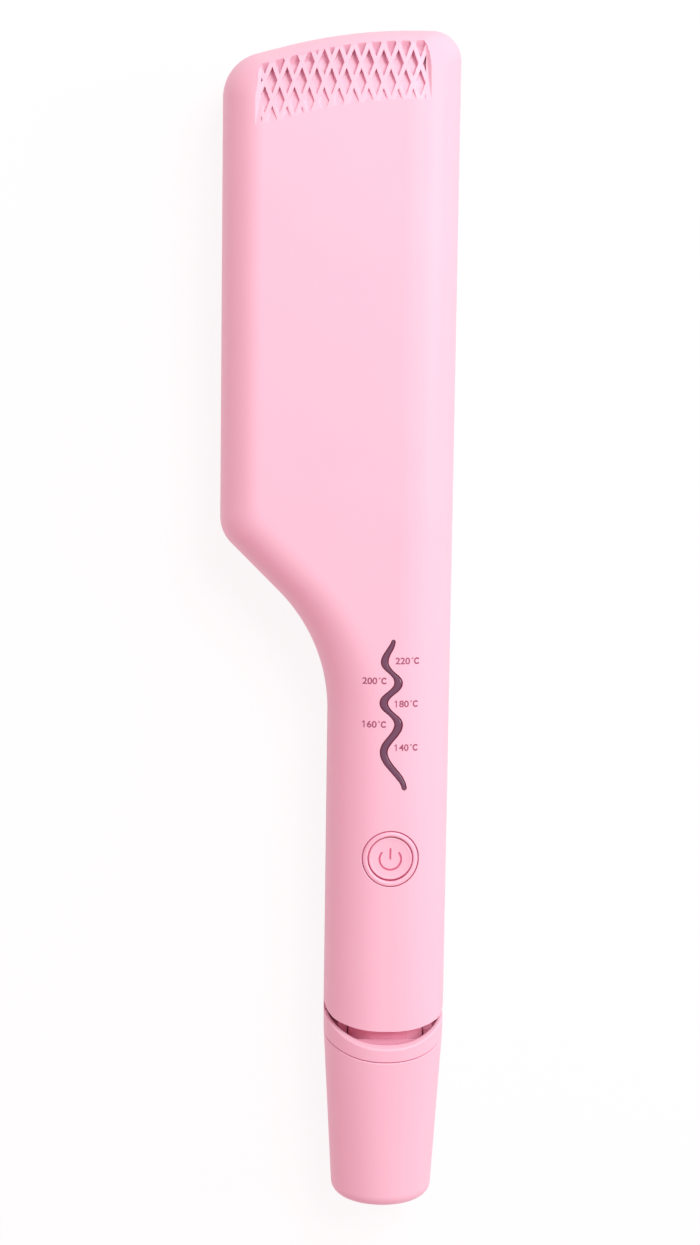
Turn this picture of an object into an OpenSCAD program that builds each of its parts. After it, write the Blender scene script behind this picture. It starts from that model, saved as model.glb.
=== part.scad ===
// Hair waver: a pink clamp tool with two mating wave plates in an offset head.
// X runs across the head, Y from the base to the tip, and +Z out of the front face.

/* [Overall] */
// Half of the handle's width
handle_half_w = 17.1; // [16.6:0.1:18.5]
// Distance from the handle's axis to the head's outer side
head_reach = 47.8; // [47:0.1:56]
// Depth of one arm, from the parting plane to its crown
half_depth = 18; // [17.5:0.1:22]
// Gap between the two arms' rims when closed
rim_gap = 1; // [0.8:0.1:1.4]
// Wall thickness of the moulded shells
wall = 2; // [1.8:0.1:2.2]

/* [Head outline] */
// Height at which the diagonal neck would meet the head's outer side
head_start = 192.6; // [186:0.2:194]
// Radius of the hollow neck
neck_r = 49; // [35:1:55]
// Length of the head beyond the wave plates
tip_l = 26; // [24:0.5:32]
// Radius of the head's lower corner
low_corner_r = 10; // [6:0.5:12]
// Radius of the head's upper outer corner
tip_outer_r = 12; // [9:0.5:14]
// Radius of the head's upper inner corner
tip_inner_r = 8; // [5:0.5:9]
// Slope of the tip's falling side, in degrees
tip_slope = 15; // [10:1:18]
// Place across the head where the tip starts to fall
tip_peak_x = -13; // [-18:1:-10]
// Radius that blends the tip's two straight stretches
tip_blend_r = 140; // [90:5:150]

/* [Shoulders] */
// Exponent of the shell's rounded section, 2 being an ellipse
section_power = 2.3; // [2:0.1:2.8]
// Half width of the flat strip along the handle's crown
crown_strip = 0.6; // [0.4:0.1:1.2]
// Width of the rounded shoulder on the head's outer side
outer_shoulder = 11; // [9:0.5:13]
// Width of the rounded shoulder along the neck
neck_shoulder = 12.5; // [11:0.5:14]
// Width of the rounded shoulder at the tip
tip_shoulder = 10; // [6:0.5:12]

/* [Grip lattice] */
// Distance from the head's outer side to the recess
grip_outer_margin = 8.4; // [7:0.1:12]
// Distance from the handle's line to the recess
grip_inner_margin = 9.4; // [8:0.1:14]
// Distance from the tip to the recess's lower edge
grip_reach = 19.3; // [15:0.1:20.5]
// Distance from the tip to the recess's upper edge
grip_margin = 3; // [2.5:0.1:5]
// Radius of the recess's upper corners
grip_round = 4; // [2:0.5:5]
// Distance between cells in one row
cell_pitch = 3.96; // [3.8:0.02:5]
// Distance between rows of cells
row_pitch = 5.15; // [4.6:0.05:6]
// Width of the ribs, measured across the head
rib_w = 1.3; // [1.1:0.02:1.7]
// Depth of the rib tops at the tip side
rib_sink = 2.4; // [1:0.1:2.8]
// Depth of the cell floors at the tip side
cell_sink = 4.2; // [3:0.1:4.6]

/* [Wave plates] */
// Distance from the head's sides to the wave plates' edges
plate_margin = 5.85; // [5.8:0.05:7]
// Height of a crest above the parting plane
wave_height = 5; // [4:0.1:5]
// Gap between the plates when closed, measured in depth
hair_gap = 1; // [0.8:0.1:1.4]
// Thickness of the wave plate, measured in depth
plate_t = 3.2; // [2.8:0.1:3.2]
// Length of the wave plates
plate_l = 105; // [90:1:106]
// Distance from the head's start to the wave plates' start
plate_rise = 6.4; // [6:0.1:8]
// Width of the heater bar
heater_w = 19.6; // [16:0.2:20]
// Thickness of the heater bar
heater_t = 4.2; // [3:0.1:4.2]
// Length of the heater bar
heater_l = 90; // [70:1:92]

/* [Hinge] */
// Height of the hinge axis above the base end
hinge_y = 57; // [56:0.5:60]
// How far the front arm opens, in degrees
open_angle = 10; // [6:0.5:11]
// Highest point of the collar's arched rim, at the sides
rim_top = 54.4; // [54:0.1:55.2]
// Radius of the rim's arch, seen from the side
rim_r = 34; // [32:0.5:45]
// Radius of the hinge pin
pin_r = 2; // [1.5:0.1:2.2]
// Width of the hinge tongue
tongue_w = 21; // [20:0.5:22]
// Radius of the tongue's round face about the pin
tongue_r = 15; // [14:0.1:15.2]
// Thickness of each collar ear
ear_t = 2.5; // [2:0.1:2.7]
// Outer radius of a hinge bush
bush_r = 3.2; // [2.9:0.1:3.6]
// Radius of the spring wire
wire_r = 0.6; // [0.5:0.05:0.7]
// Radius of the spring's coils, to the wire's middle
coil_r = 4; // [3.8:0.1:4.2]
// Number of turns in the spring
coil_turns = 4; // [3:1:5]

/* [Base] */
// Half width of the base end
base_r = 14.2; // [13.6:0.1:15.5]
// Radius that rounds the base end's edge
base_edge_r = 3.5; // [2:0.5:4]
// Highest point of the arched seam between collar and base, at the sides
seam_top = 48.6; // [48:0.1:49]
// Radius of the seam's arch, seen from the side
seam_r = 38; // [34:0.5:45]
// Radius of the cord hole through the swivel
cord_hole_r = 3.7; // [3:0.1:4.2]
// Radius of the swivel's neck
swivel_r = 6.4; // [5.8:0.1:7]

/* [Controls] */
// Height of the button above the base end
button_y = 103; // [101:0.5:105]
// Radius of the button cap
button_r = 6.05; // [5.6:0.05:6.2]
// Travel of the button
button_travel = 0.7; // [0.4:0.1:0.8]
// Depth of the button face below the crown
button_sink = 1.1; // [0.8:0.1:1.4]
// Wall of the ring around the button
bezel_wall = 1.45; // [1.2:0.05:1.6]
// Width of the wavy indicator strip
lens_w = 2.2; // [1.8:0.1:2.6]
// Width of the control board
board_w = 22; // [18:1:23]

/* [Storage lock] */
// Height of the catch bar above the base end
catch_y = 90; // [89:0.5:91]
// Travel of the lock slider
lock_travel = 4; // [3.6:0.2:4]

/* [Hidden] */
$fn = 64;

pink = [0.98, 0.76, 0.83];
deep_pink = [0.86, 0.5, 0.62];
steel = [0.72, 0.73, 0.75];
ceramic = [0.25, 0.24, 0.25];
board_green = [0.1, 0.35, 0.2];

// Clearances: a seat in one body, a gap between bodies, a turning fit, and a screw in its boss
seat = 0.2;
moving_gap = 0.3;
turning_fit = 0.05;
screw_fit = 0.1;
// How far a cutter runs past what it cuts
past = 1;

// Steps round each corner of the outline, and up the section of a shell
arc_steps = 9;
section_steps = 9;
lining_steps = 6;
base_steps = 48;

rim_z = rim_gap / 2;
lining_h = half_depth - wall;
// The plates fill the head: their length sets the tool's, and the head's width sets theirs
plate_start = head_start + plate_rise;
tool_length = plate_start + plate_l + tip_l;
centre_x = (handle_half_w - head_reach) / 2;
plate_x = centre_x - 0.15;
// Width of one wave, from crest to crest
wave_pitch = (head_reach + handle_half_w) / 2 - plate_margin;

// Vectors and lines: a line is held by the angle of its normal and its distance
function normal(a) = [cos(a), sin(a)];
function line_through(a, p) = normal(a) * p;
function meet(a, da, b, db) =
    let (det = sin(b - a))
    [(da * sin(b) - db * sin(a)) / det, (db * cos(a) - da * cos(b)) / det];
function backwards(list) = [for (i = [len(list) - 1:-1:0]) list[i]];
function mix(a, b, t) = a + (b - a) * t;

// The outline's straight sides, in order: handle, neck, head, falling tip, tip and long side
side_angle = [180, 225, 180, 90 + tip_slope, 90, 0];
side_distance = [
    handle_half_w,
    line_through(225, [-head_reach, head_start]),
    head_reach,
    line_through(90 + tip_slope, [tip_peak_x, tool_length]),
    tool_length,
    handle_half_w
];
// Corner radii of the outline, a hollow corner being negative
corner_r = [-neck_r, low_corner_r, tip_outer_r, tip_blend_r, tip_inner_r];
// How far the flat crown lies inside each side, and its own corner radii
handle_shoulder = handle_half_w - crown_strip;
crown_inset = [
    handle_shoulder, neck_shoulder, outer_shoulder, tip_shoulder, tip_shoulder, handle_shoulder
];
crown_r = [-63, 8, 6, 60, 4];

// One rounded corner between side i and the next, with both sides moved inwards
function corner(i, inset, r, steps) =
    let (
        a = side_angle[i],
        b = side_angle[i + 1],
        centre = meet(a, side_distance[i] - inset[i] - r, b, side_distance[i + 1] - inset[i + 1] - r)
    )
    [for (k = [0:steps]) centre + r * normal(mix(a, b, k / steps))];

// Points up the outer side, from the arm's end to the start of the tip's outer corner
function outer_side(inset, r, start, steps) =
    let (tip = corner(2, inset, r[2], steps))
    concat(
        [[-side_distance[0] + inset[0], start]],
        corner(0, inset, r[0], steps),
        corner(1, inset, r[1], steps),
        [tip[0]]
    );
function tip_side(inset, r, steps) =
    let (outer = corner(2, inset, r[2], steps))
    concat(
        [for (k = [1:steps]) outer[k]],
        corner(3, inset, r[3], steps),
        corner(4, inset, r[4], steps)
    );
// The whole outline: up the outer side, over the tip and down the long side in level steps
function outline(inset, r, start, steps) =
    let (outer = outer_side(inset, r, start, steps))
    concat(
        outer,
        tip_side(inset, r, steps),
        [for (p = backwards(outer)) [side_distance[5] - inset[5], p[1]]]
    );

// A closed half shell form: the outline at the rim rises on a rounded section to the crown
module arm_form(inset, h, start, bottom, steps, rings) {
    outer_inset = [for (c = crown_inset) inset];
    outer_r = [for (r = corner_r) r - inset];
    foot = outline(outer_inset, outer_r, start, steps);
    crown = outline(crown_inset, crown_r, start, steps);
    m = len(outer_side(crown_inset, crown_r, start, steps));
    n = len(foot);
    last = rings;
    points = [
        for (k = [0:rings])
            let (
                rise = k == 0 ? bottom : h * pow(sin(90 * k / rings), 2 / section_power),
                blend = 1 - pow(cos(90 * k / rings), 2 / section_power)
            )
            for (i = [0:n - 1])
                let (p = mix(foot[i], crown[i], k == 0 ? 0 : blend))
                [p[0], p[1], rise]
    ];
    ladder = [for (i = [0:m - 2]) [i, i + 1, n - 2 - i, n - 1 - i]];
    cap = concat(ladder, [[for (i = [m - 1:n - m]) i]]);
    faces = concat(
        [for (k = [0:rings - 1]) for (i = [0:n - 2]) [k * n + i, k * n + i + 1, (k + 1) * n + i + 1]],
        [for (k = [0:rings - 1]) for (i = [0:n - 2]) [k * n + i, (k + 1) * n + i + 1, (k + 1) * n + i]],
        [for (f = cap) [for (i = f) last * n + i]],
        [for (f = cap) backwards(f)],
        [concat([for (k = [0:rings]) k * n], [for (k = [rings:-1:0]) k * n + n - 1])]
    );
    polyhedron(points, faces);
}

grip_l = grip_reach - grip_margin;
grip_w = head_reach + handle_half_w - grip_outer_margin - grip_inner_margin;
rib_slope = atan(rib_sink / grip_l);
cell_slope = atan(cell_sink / grip_l);
// Middle of one cell, from which the pattern runs
grip_origin = [centre_x + 0.25, tool_length - 14.95];

// Everything in front of two planes that sink from the lattice's lower edge towards the tip's two sides
module above_sinking_planes(slope) {
    depth = 12;
    for (i = [3, 4])
        rotate(side_angle[i] - 90)
            translate([-tool_length, side_distance[i] - grip_reach, half_depth])
                rotate([-slope, 0, 0])
                    cube([2 * tool_length, 3 * grip_reach, depth]);
}

// Upright sides, and an upper edge that follows the tip; the planes above give the lower edge
module grip_field() {
    inset = [for (c = crown_inset) grip_margin];
    offset(r = grip_round) offset(delta = -grip_round)
        intersection() {
            polygon(outline(inset, [for (r = corner_r) r - grip_margin], hinge_y, arc_steps));
            translate([grip_outer_margin - head_reach, tool_length - 2 * grip_reach])
                square([grip_w, 2 * grip_reach]);
        }
}

// Upright diamonds in level rows, each row half a pitch along from the last
module grip_cells() {
    half_w = (cell_pitch - rib_w) / 2;
    half_l = row_pitch * (cell_pitch - rib_w) / cell_pitch;
    across = ceil(grip_w / cell_pitch / 2) + 1;
    rows = ceil(grip_reach / row_pitch / 2) + 1;
    for (row = [-rows:rows])
        for (i = [-across:across])
            translate(grip_origin + [(i + (row % 2 == 0 ? 0 : 0.5)) * cell_pitch, row * row_pitch])
                polygon([[-half_w, 0], [0, half_l], [half_w, 0], [0, -half_l]]);
}

module grip_cutter() {
    top = 2 * half_depth;
    intersection() {
        linear_extrude(top) grip_field();
        above_sinking_planes(rib_slope);
    }
    intersection() {
        linear_extrude(top) intersection() { grip_field(); grip_cells(); }
        above_sinking_planes(cell_slope);
    }
}

// One bare half shell, open at the rim and at its lower end
module half_shell(end_y) {
    tip_floor = 11.4;
    tip_block = 22;
    difference() {
        arm_form(0, half_depth, end_y, rim_z, arc_steps, section_steps);
        difference() {
            arm_form(wall, lining_h, end_y - past, rim_z - past, arc_steps, lining_steps);
            translate([-head_reach, tool_length - tip_block, tip_floor])
                cube([head_reach + handle_half_w, tip_block, half_depth]);
        }
        grip_cutter();
    }
}

// A boss hanging from the crown of the front arm
module boss(x, y, foot_z, r) {
    bite = 0.6;
    translate([x, y, foot_z])
        cylinder(r = r, h = lining_h + bite - foot_z);
}
module pilot(x, y, foot_z) {
    reach = lining_h - foot_z;
    translate([x, y, foot_z - past])
        cylinder(r = screw_r + screw_fit, h = reach + past);
}

screw_r = 1.2;
head_r = 2.3;
head_t = 1.4;
boss_r = 2.8;

// A screw along +Z whose head's upper face is at the origin
module screw(grip) {
    translate([0, 0, -head_t]) cylinder(r = head_r, h = head_t);
    cylinder(r = screw_r, h = grip);
}

// The front arm's screw places: hinge frame, control board and plate carrier
frame_screw_y = [70, 84];
board_screw_y = [115.5, 171];
carrier_screw_x = [plate_x - 6.5, plate_x + 10.5];
carrier_screw_y = plate_start - 9;
collar_screw_y = [65, 75];

frame_z = 6;
frame_t = 3;
frame_end = 93;
board_z = 8;
board_t = 1.6;
board_start = 95;
board_end = 176;
web_t = 1.2;
web_z = lining_h - 1.2 - web_t;

// The wavy strip's turning points, and an easy curve between them
strip_turns = [
    [164.5, -0.3], [158.5, -2.5], [152.6, 1.4], [147.1, -2.6], [141, 1.6], [133.3, -2.4], [122.3, 3.5]
];
strip_steps = 7;
strip_line = concat(
    [
        for (i = [0:len(strip_turns) - 2])
            for (k = [0:strip_steps - 1])
                let (t = k / strip_steps)
                [
                    mix(strip_turns[i][1], strip_turns[i + 1][1], (1 - cos(180 * t)) / 2),
                    mix(strip_turns[i][0], strip_turns[i + 1][0], t)
                ]
    ],
    [[strip_turns[len(strip_turns) - 1][1], strip_turns[len(strip_turns) - 1][0]]]
);
strip_count = len(strip_line);
// The strip narrows to rounded points at both ends
function strip_half(i, grow) =
    let (ends = min(i, strip_count - 1 - i))
    grow + lens_w / 2 * min(1, 0.45 + ends * 0.14);
function strip_side(i, side, grow) =
    let (
        a = strip_line[max(i - 1, 0)],
        b = strip_line[min(i + 1, strip_count - 1)],
        d = (b - a) / norm(b - a)
    )
    strip_line[i] + side * strip_half(i, grow) * [d[1], -d[0]]
        + d * grow * (i == 0 ? -1 : i == strip_count - 1 ? 1 : 0);
module strip_shape(grow) {
    polygon(concat(
        [for (i = [0:strip_count - 1]) strip_side(i, 1, grow)],
        [for (i = [strip_count - 1:-1:0]) strip_side(i, -1, grow)]
    ));
}

bezel_in = button_r + moving_gap;
bezel_out = bezel_in + bezel_wall;

module front_shell() {
    hole_clear = 0.15;
    color(pink)
    difference() {
        union() {
            half_shell(hinge_y - 9);
            for (y = frame_screw_y) boss(0, y, frame_z + frame_t, boss_r);
            for (y = board_screw_y) boss(0, y, board_z + board_t, boss_r);
            for (x = carrier_screw_x) boss(x, carrier_screw_y, web_z + web_t, boss_r);
        }
        for (y = frame_screw_y) pilot(0, y, frame_z + frame_t);
        for (y = board_screw_y) pilot(0, y, board_z + board_t);
        for (x = carrier_screw_x) pilot(x, carrier_screw_y, web_z + web_t);
        below_arm_end();
        translate([0, button_y, 0]) cylinder(r = bezel_out + hole_clear, h = 2 * half_depth);
        translate([0, 0, web_z - past]) linear_extrude(half_depth) strip_shape(0.1);
    }
}

// A drum across the handle: the arched rim and seam are cut by its round face
module arch(top, r, grow) {
    size = 120;
    translate([-size / 2, top - r, 0])
        rotate([0, 90, 0]) cylinder(r = r + grow, h = size);
}
// The front arm's end is the rim's arch turned back by the opening angle, which leaves the wedge
wedge_clear = 0.4;
wedge_gap = 0.3;
module below_arm_end() {
    end_r = 3;
    end_y = rim_top + wedge_gap;
    translate([0, hinge_y, 0])
        rotate([-open_angle - wedge_clear, 0, 0])
            translate([0, -hinge_y, 0])
                arch(rim_top, rim_r, wedge_gap);
    for (s = [-1, 1])
        translate([s * (handle_half_w - end_r), end_y, -half_depth])
            difference() {
                translate([s < 0 ? -2 * end_r : 0, -2 * end_r, 0])
                    cube([2 * end_r, 3 * end_r, 3 * half_depth]);
                translate([0, end_r, -past]) cylinder(r = end_r, h = 4 * half_depth);
            }
}

// Storage lock: places along the handle and in depth
stem_w = 4;
stem_l = 3;
lip_w = 8;
lip_l = 3.6;
lip_t = 1.2;
bar_w = 2;
bar_z = 0.8;
bar_t = 1.8;
lip_z = bar_z + bar_t + moving_gap;
lip_end = catch_y - bar_w / 2 - 1.4;
stem_y = lip_end - lip_l - stem_l;
pad_w = 11;
pad_l = 10;
pad_y = stem_y - 3;
pad_face = half_depth - 0.9;
pad_t = 0.8;
pocket_floor = pad_face - pad_t - 0.2;
liner_z = pocket_floor - 1.6;

module lock_pocket() {
    translate([-pad_w / 2 - moving_gap, pad_y - moving_gap, -2 * half_depth])
        cube([pad_w + 2 * moving_gap, pad_l + lock_travel + 2 * moving_gap, 2 * half_depth - pocket_floor]);
    translate([-stem_w / 2 - moving_gap, stem_y - moving_gap, -half_depth])
        cube([stem_w + 2 * moving_gap, stem_l + lock_travel + 2 * moving_gap, half_depth]);
}
module lock_liner() {
    over = 2;
    translate([-pad_w / 2 - over, pad_y - over, -lining_h])
        cube([pad_w + 2 * over, pad_l + lock_travel + 2 * over, lining_h - liner_z]);
}

collar_plate_z = 10.6;
collar_plate_t = 3;

module rear_shell() {
    color(pink)
    difference() {
        union() {
            mirror([0, 0, 1]) {
                half_shell(hinge_y - 13);
                for (y = collar_screw_y) boss(0, y, collar_plate_z + collar_plate_t, boss_r);
                for (x = carrier_screw_x) boss(x, carrier_screw_y, web_z + web_t, boss_r);
            }
            lock_liner();
        }
        mirror([0, 0, 1]) {
            for (y = collar_screw_y) pilot(0, y, collar_plate_z + collar_plate_t);
            for (x = carrier_screw_x) pilot(x, carrier_screw_y, web_z + web_t);
        }
        lock_pocket();
        arch(rim_top, rim_r, seam_gap);
    }
}

module lock_slider() {
    flange_t = 1;
    flange_over = 1;
    rib_r = 0.35;
    ribs = 4;
    color(deep_pink) {
        difference() {
            translate([-pad_w / 2, pad_y, -pad_face]) cube([pad_w, pad_l, pad_t]);
            for (i = [1:ribs])
                translate([-pad_w / 2 - past, pad_y + i * pad_l / (ribs + 1), -pad_face])
                    rotate([0, 90, 0]) cylinder(r = rib_r, h = pad_w + 2 * past);
        }
        translate([-stem_w / 2, stem_y, -pad_face + pad_t / 2])
            cube([stem_w, stem_l, pad_face - pad_t / 2 + lip_z + lip_t]);
        translate([-stem_w / 2 - flange_over, stem_y - flange_over, -liner_z + moving_gap])
            cube([stem_w + 2 * flange_over, stem_l + 2 * flange_over, flange_t]);
        translate([-lip_w / 2, stem_y, lip_z]) cube([lip_w, stem_l + lip_l, lip_t]);
    }
}

// Height at which the base's taper ends, and a height past everything that its forms are cut to
taper_l = 50;
form_top = 65;
// Half width and half depth of the base's outer form at a height above its end
function base_w(y) = mix(base_r, handle_half_w, min(1, y / taper_l)) - edge_in(y);
function base_d(y) = mix(base_r, half_depth - 0.2, min(1, y / taper_l)) - edge_in(y);
function edge_in(y) =
    y >= base_edge_r ? 0 : base_edge_r - sqrt(max(0, pow(base_edge_r, 2) - pow(base_edge_r - y, 2)));
// The section turns from round at the end to the handle's own form at the rim
function base_power(y) = mix(2, section_power, min(1, y / taper_l));
function base_point(a, y, inset) =
    let (p = 2 / base_power(y), c = cos(a), s = sin(a))
    [
        sign(c) * (base_w(y) - inset) * pow(abs(c), p),
        y,
        sign(s) * (base_d(y) - inset) * pow(abs(s), p)
    ];
module base_form(heights, inset) {
    n = base_steps;
    last = len(heights) - 1;
    points = [for (y = heights) for (i = [0:n - 1]) base_point(360 * i / n, y, inset)];
    faces = concat(
        [
            for (k = [0:last - 1])
                for (i = [0:n - 1])
                    [k * n + i, (k + 1) * n + (i + 1) % n, (k + 1) * n + i]
        ],
        [
            for (k = [0:last - 1])
                for (i = [0:n - 1])
                    [k * n + i, k * n + (i + 1) % n, (k + 1) * n + (i + 1) % n]
        ],
        [[for (i = [n - 1:-1:0]) i]],
        [[for (i = [0:n - 1]) last * n + i]]
    );
    polyhedron(points, faces);
}
edge_heights = [for (k = [0:4]) base_edge_r * (1 - cos(90 * k / 4))];
outer_heights = concat(edge_heights, [taper_l, form_top]);

end_wall = 3;
lining_heights = [end_wall, taper_l, form_top];
seam_gap = 0.3;
spigot_y = 39;
floor_t = 2.5;
spigot_t = 1.4;
screw_boss_y = 26;

// The shelf under the terminal block, and the block's upper end
shelf_z = -7;
shelf_t = 1.7;
terminal_end = 24;
module base_cone() {
    shelf_l = 9;
    boss_l = spigot_y - seat - screw_boss_y;
    color(pink)
    difference() {
        intersection() {
            base_form(outer_heights, 0);
            arch(seam_top, seam_r, 0);
        }
        difference() {
            base_form(lining_heights, wall);
            for (s = [-1, 1])
                translate([s * base_screw_x, screw_boss_y, 0]) {
                    rotate([-90, 0, 0]) cylinder(r = boss_r, h = boss_l);
                    translate([min(0, s * 8), 0, -1]) cube([8, boss_l, 2]);
                }
            translate([-base_r, terminal_end + 0.5 - shelf_l, shelf_z]) cube([2 * base_r, shelf_l, shelf_t]);
        }
        rotate([-90, 0, 0])
            translate([0, 0, -past]) cylinder(r = swivel_r + turning_fit, h = end_wall + 2 * past);
        for (s = [-1, 1])
            translate([s * base_screw_x, screw_boss_y + 2, 0])
                rotate([-90, 0, 0]) cylinder(r = screw_r + screw_fit, h = spigot_y);
    }
}

tongue_half = tongue_w / 2;
ear_in = tongue_half + moving_gap;
ear_out = ear_in + ear_t;
base_screw_x = ear_in - head_r - moving_gap;
ear_r = 8;

module collar_ears() {
    for (s = [0, 1])
        mirror([s, 0, 0])
            translate([ear_in, 0, 0]) {
                translate([0, hinge_y, 0]) rotate([0, 90, 0]) cylinder(r = ear_r, h = ear_t);
                translate([0, spigot_y, -ear_r]) cube([ear_t, hinge_y - spigot_y, 2 * ear_r]);
            }
}

module hinge_collar() {
    plate_w = 15;
    plate_end = stem_y - 2;
    lead_hole = [12, 5];
    lead_hole_z = -9.6;
    step = 1.2;
    color(pink)
    difference() {
        union() {
            difference() {
                intersection() {
                    union() {
                        difference() {
                            base_form([spigot_y - 20, taper_l, form_top], 0);
                            arch(seam_top, seam_r, seam_gap);
                        }
                        base_form([spigot_y, taper_l, form_top], wall + seat);
                    }
                    arch(rim_top, rim_r, 0);
                }
                // The spigot's bore, and the wider hollow above its step
                base_form([spigot_y + floor_t, taper_l, form_top + past], wall + seat + spigot_t);
                difference() {
                    base_form([spigot_y - 17, taper_l, form_top + past], wall);
                    arch(seam_top, seam_r, step);
                }
            }
            // Ears for the pin, and the plate that carries the rear shell
            intersection() {
                base_form([spigot_y, taper_l, plate_end], wall + seat);
                union() {
                    collar_ears();
                    translate([-plate_w / 2, spigot_y, -collar_plate_z - collar_plate_t])
                        cube([plate_w, plate_end - spigot_y, collar_plate_t]);
                }
            }
        }
        translate([-ear_out - past, hinge_y, 0])
            rotate([0, 90, 0]) cylinder(r = pin_r + turning_fit, h = 2 * (ear_out + past));
        for (y = collar_screw_y)
            translate([0, y, -half_depth]) cylinder(r = screw_r + screw_fit, h = half_depth);
        for (s = [-1, 1])
            translate([s * base_screw_x, spigot_y - past, 0])
                rotate([-90, 0, 0]) cylinder(r = screw_r + screw_fit, h = floor_t + 2 * past);
        translate([-lead_hole[0] / 2, spigot_y - past, lead_hole_z])
            cube([lead_hole[0], floor_t + 2 * past, lead_hole[1]]);
    }
}

module hinge_pin() {
    color(steel)
    translate([-ear_out, hinge_y, 0])
        rotate([0, 90, 0]) cylinder(r = pin_r, h = 2 * ear_out);
}

spring_room = 4.6;
module hinge_bushes() {
    color([0.9, 0.9, 0.88])
    for (s = [0, 1])
        mirror([s, 0, 0])
            translate([spring_room, hinge_y, 0])
                rotate([0, 90, 0])
                    difference() {
                        cylinder(r = bush_r, h = tongue_half - spring_room);
                        translate([0, 0, -past]) cylinder(r = pin_r + turning_fit, h = tongue_w);
                    }
}

// The inside of the handle, held a little way in from the shell's lining
module handle_inside(gap, from, to) {
    w = handle_half_w - wall - gap;
    h = lining_h - gap;
    steps = 12;
    edge = [
        for (k = [0:steps])
            let (a = 90 * k / steps, p = 2 / section_power)
            [crown_strip + (w - crown_strip) * pow(cos(a), p), h * pow(sin(a), p)]
    ];
    // The profile is drawn across the handle and pushed along it
    translate([0, to, 0])
        rotate([90, 0, 0])
            linear_extrude(to - from)
                polygon(concat(
                    edge,
                    [for (k = [steps:-1:0]) [-edge[k][0], edge[k][1]]],
                    [[-w, -h], [w, -h]]
                ));
}

module hinge_frame() {
    tongue_low = 8;
    swing_room = 3.5;
    tongue_gap = 2.4;
    tongue_back = 5;
    cheek_t = 2;
    cheek_l = 3;
    color(deep_pink)
    difference() {
        union() {
            intersection() {
                union() {
                    translate([-tongue_half, hinge_y, 0])
                        rotate([0, 90, 0]) cylinder(r = tongue_r, h = tongue_w);
                    translate([-tongue_half, hinge_y, frame_z])
                        cube([tongue_w, frame_screw_y[0] - 4 - hinge_y, frame_t + 4]);
                }
                translate([-tongue_half, hinge_y - tongue_low, -tongue_back])
                    cube([tongue_w, 2 * tongue_low, 2 * half_depth]);
                handle_inside(tongue_gap, hinge_y - tongue_low - past, hinge_y + 30);
            }
            intersection() {
                translate([-9, hinge_y + 4, frame_z]) cube([18, frame_end - hinge_y - 4, frame_t]);
                handle_inside(seat + 0.2, hinge_y, frame_end);
            }
            for (s = [0, 1])
                mirror([s, 0, 0])
                    translate([lip_w / 2 + 2 * moving_gap, catch_y - cheek_l / 2, bar_z])
                        cube([cheek_t, cheek_l, frame_z + past - bar_z]);
            translate([-lip_w / 2 - past, catch_y - bar_w / 2, bar_z]) cube([lip_w + 2 * past, bar_w, bar_t]);
        }
        // Slot for the spring, deeper where the floor leg swings, and the bore that holds the bushes
        translate([-spring_room, hinge_y - 2 * tongue_low, -half_depth])
            cube([2 * spring_room, 4 * tongue_low, half_depth + frame_z]);
        translate([-spring_room, hinge_y - 2 * tongue_low, 0])
            cube([2 * spring_room, 2 * tongue_low, coil_r + swing_room]);
        translate([-tongue_half - past, hinge_y, 0])
            rotate([0, 90, 0]) cylinder(r = bush_r + turning_fit, h = tongue_w + 2 * past);
        for (y = frame_screw_y)
            translate([0, y, frame_z - past]) cylinder(r = screw_r + screw_fit, h = half_depth);
    }
}

// A round wire swept along a path: every ring lies square to the path
function unit(v) = v / norm(v);
function ring_frame(path, i, up) =
    let (
        a = path[max(i - 1, 0)],
        b = path[min(i + 1, len(path) - 1)],
        t = unit(b - a),
        u = unit(cross(up, t))
    )
    [u, cross(t, u)];
module wire(path, r, up, sides) {
    n = len(path);
    points = [
        for (i = [0:n - 1])
            let (f = ring_frame(path, i, up))
            for (k = [0:sides - 1])
                path[i] + r * (cos(360 * k / sides) * f[0] + sin(360 * k / sides) * f[1])
    ];
    faces = concat(
        [
            for (i = [0:n - 2])
                for (k = [0:sides - 1])
                    [i * sides + k, (i + 1) * sides + k, (i + 1) * sides + (k + 1) % sides]
        ],
        [
            for (i = [0:n - 2])
                for (k = [0:sides - 1])
                    [i * sides + k, (i + 1) * sides + (k + 1) % sides, i * sides + (k + 1) % sides]
        ],
        [[for (k = [0:sides - 1]) k]],
        [[for (k = [sides - 1:-1:0]) (n - 1) * sides + k]]
    );
    polyhedron(points, faces);
}

// Coil round the pin: one leg stands on the collar's floor, the other lifts the frame
module torsion_spring() {
    steps = 14;
    coil_w = 2 * (spring_room - wire_r - moving_gap);
    lift_leg = 12;
    floor_leg = hinge_y - spigot_y - floor_t - seat;
    count = coil_turns * steps;
    coil = [
        for (i = [0:count])
            let (a = 90 + 360 * i / steps)
            [coil_w * (i / count - 0.5), hinge_y + coil_r * cos(a), coil_r * sin(a)]
    ];
    color(steel)
    wire(
        concat(
            [[-coil_w / 2, hinge_y + lift_leg, frame_z - seat - wire_r]],
            coil,
            [[coil_w / 2, hinge_y - floor_leg, coil_r]]
        ),
        wire_r, [1, 0, 0], 6
    );
}

module frame_screws() {
    color(steel)
    for (y = frame_screw_y) translate([0, y, frame_z]) screw(frame_t + 6);
}
module collar_screws() {
    color(steel)
    for (y = collar_screw_y)
        translate([0, y, -collar_plate_z]) mirror([0, 0, 1]) screw(collar_plate_t + 2);
}
module base_screws() {
    color(steel)
    for (s = [-1, 1])
        translate([s * base_screw_x, spigot_y + floor_t, 0]) rotate([90, 0, 0]) screw(10);
}

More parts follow.
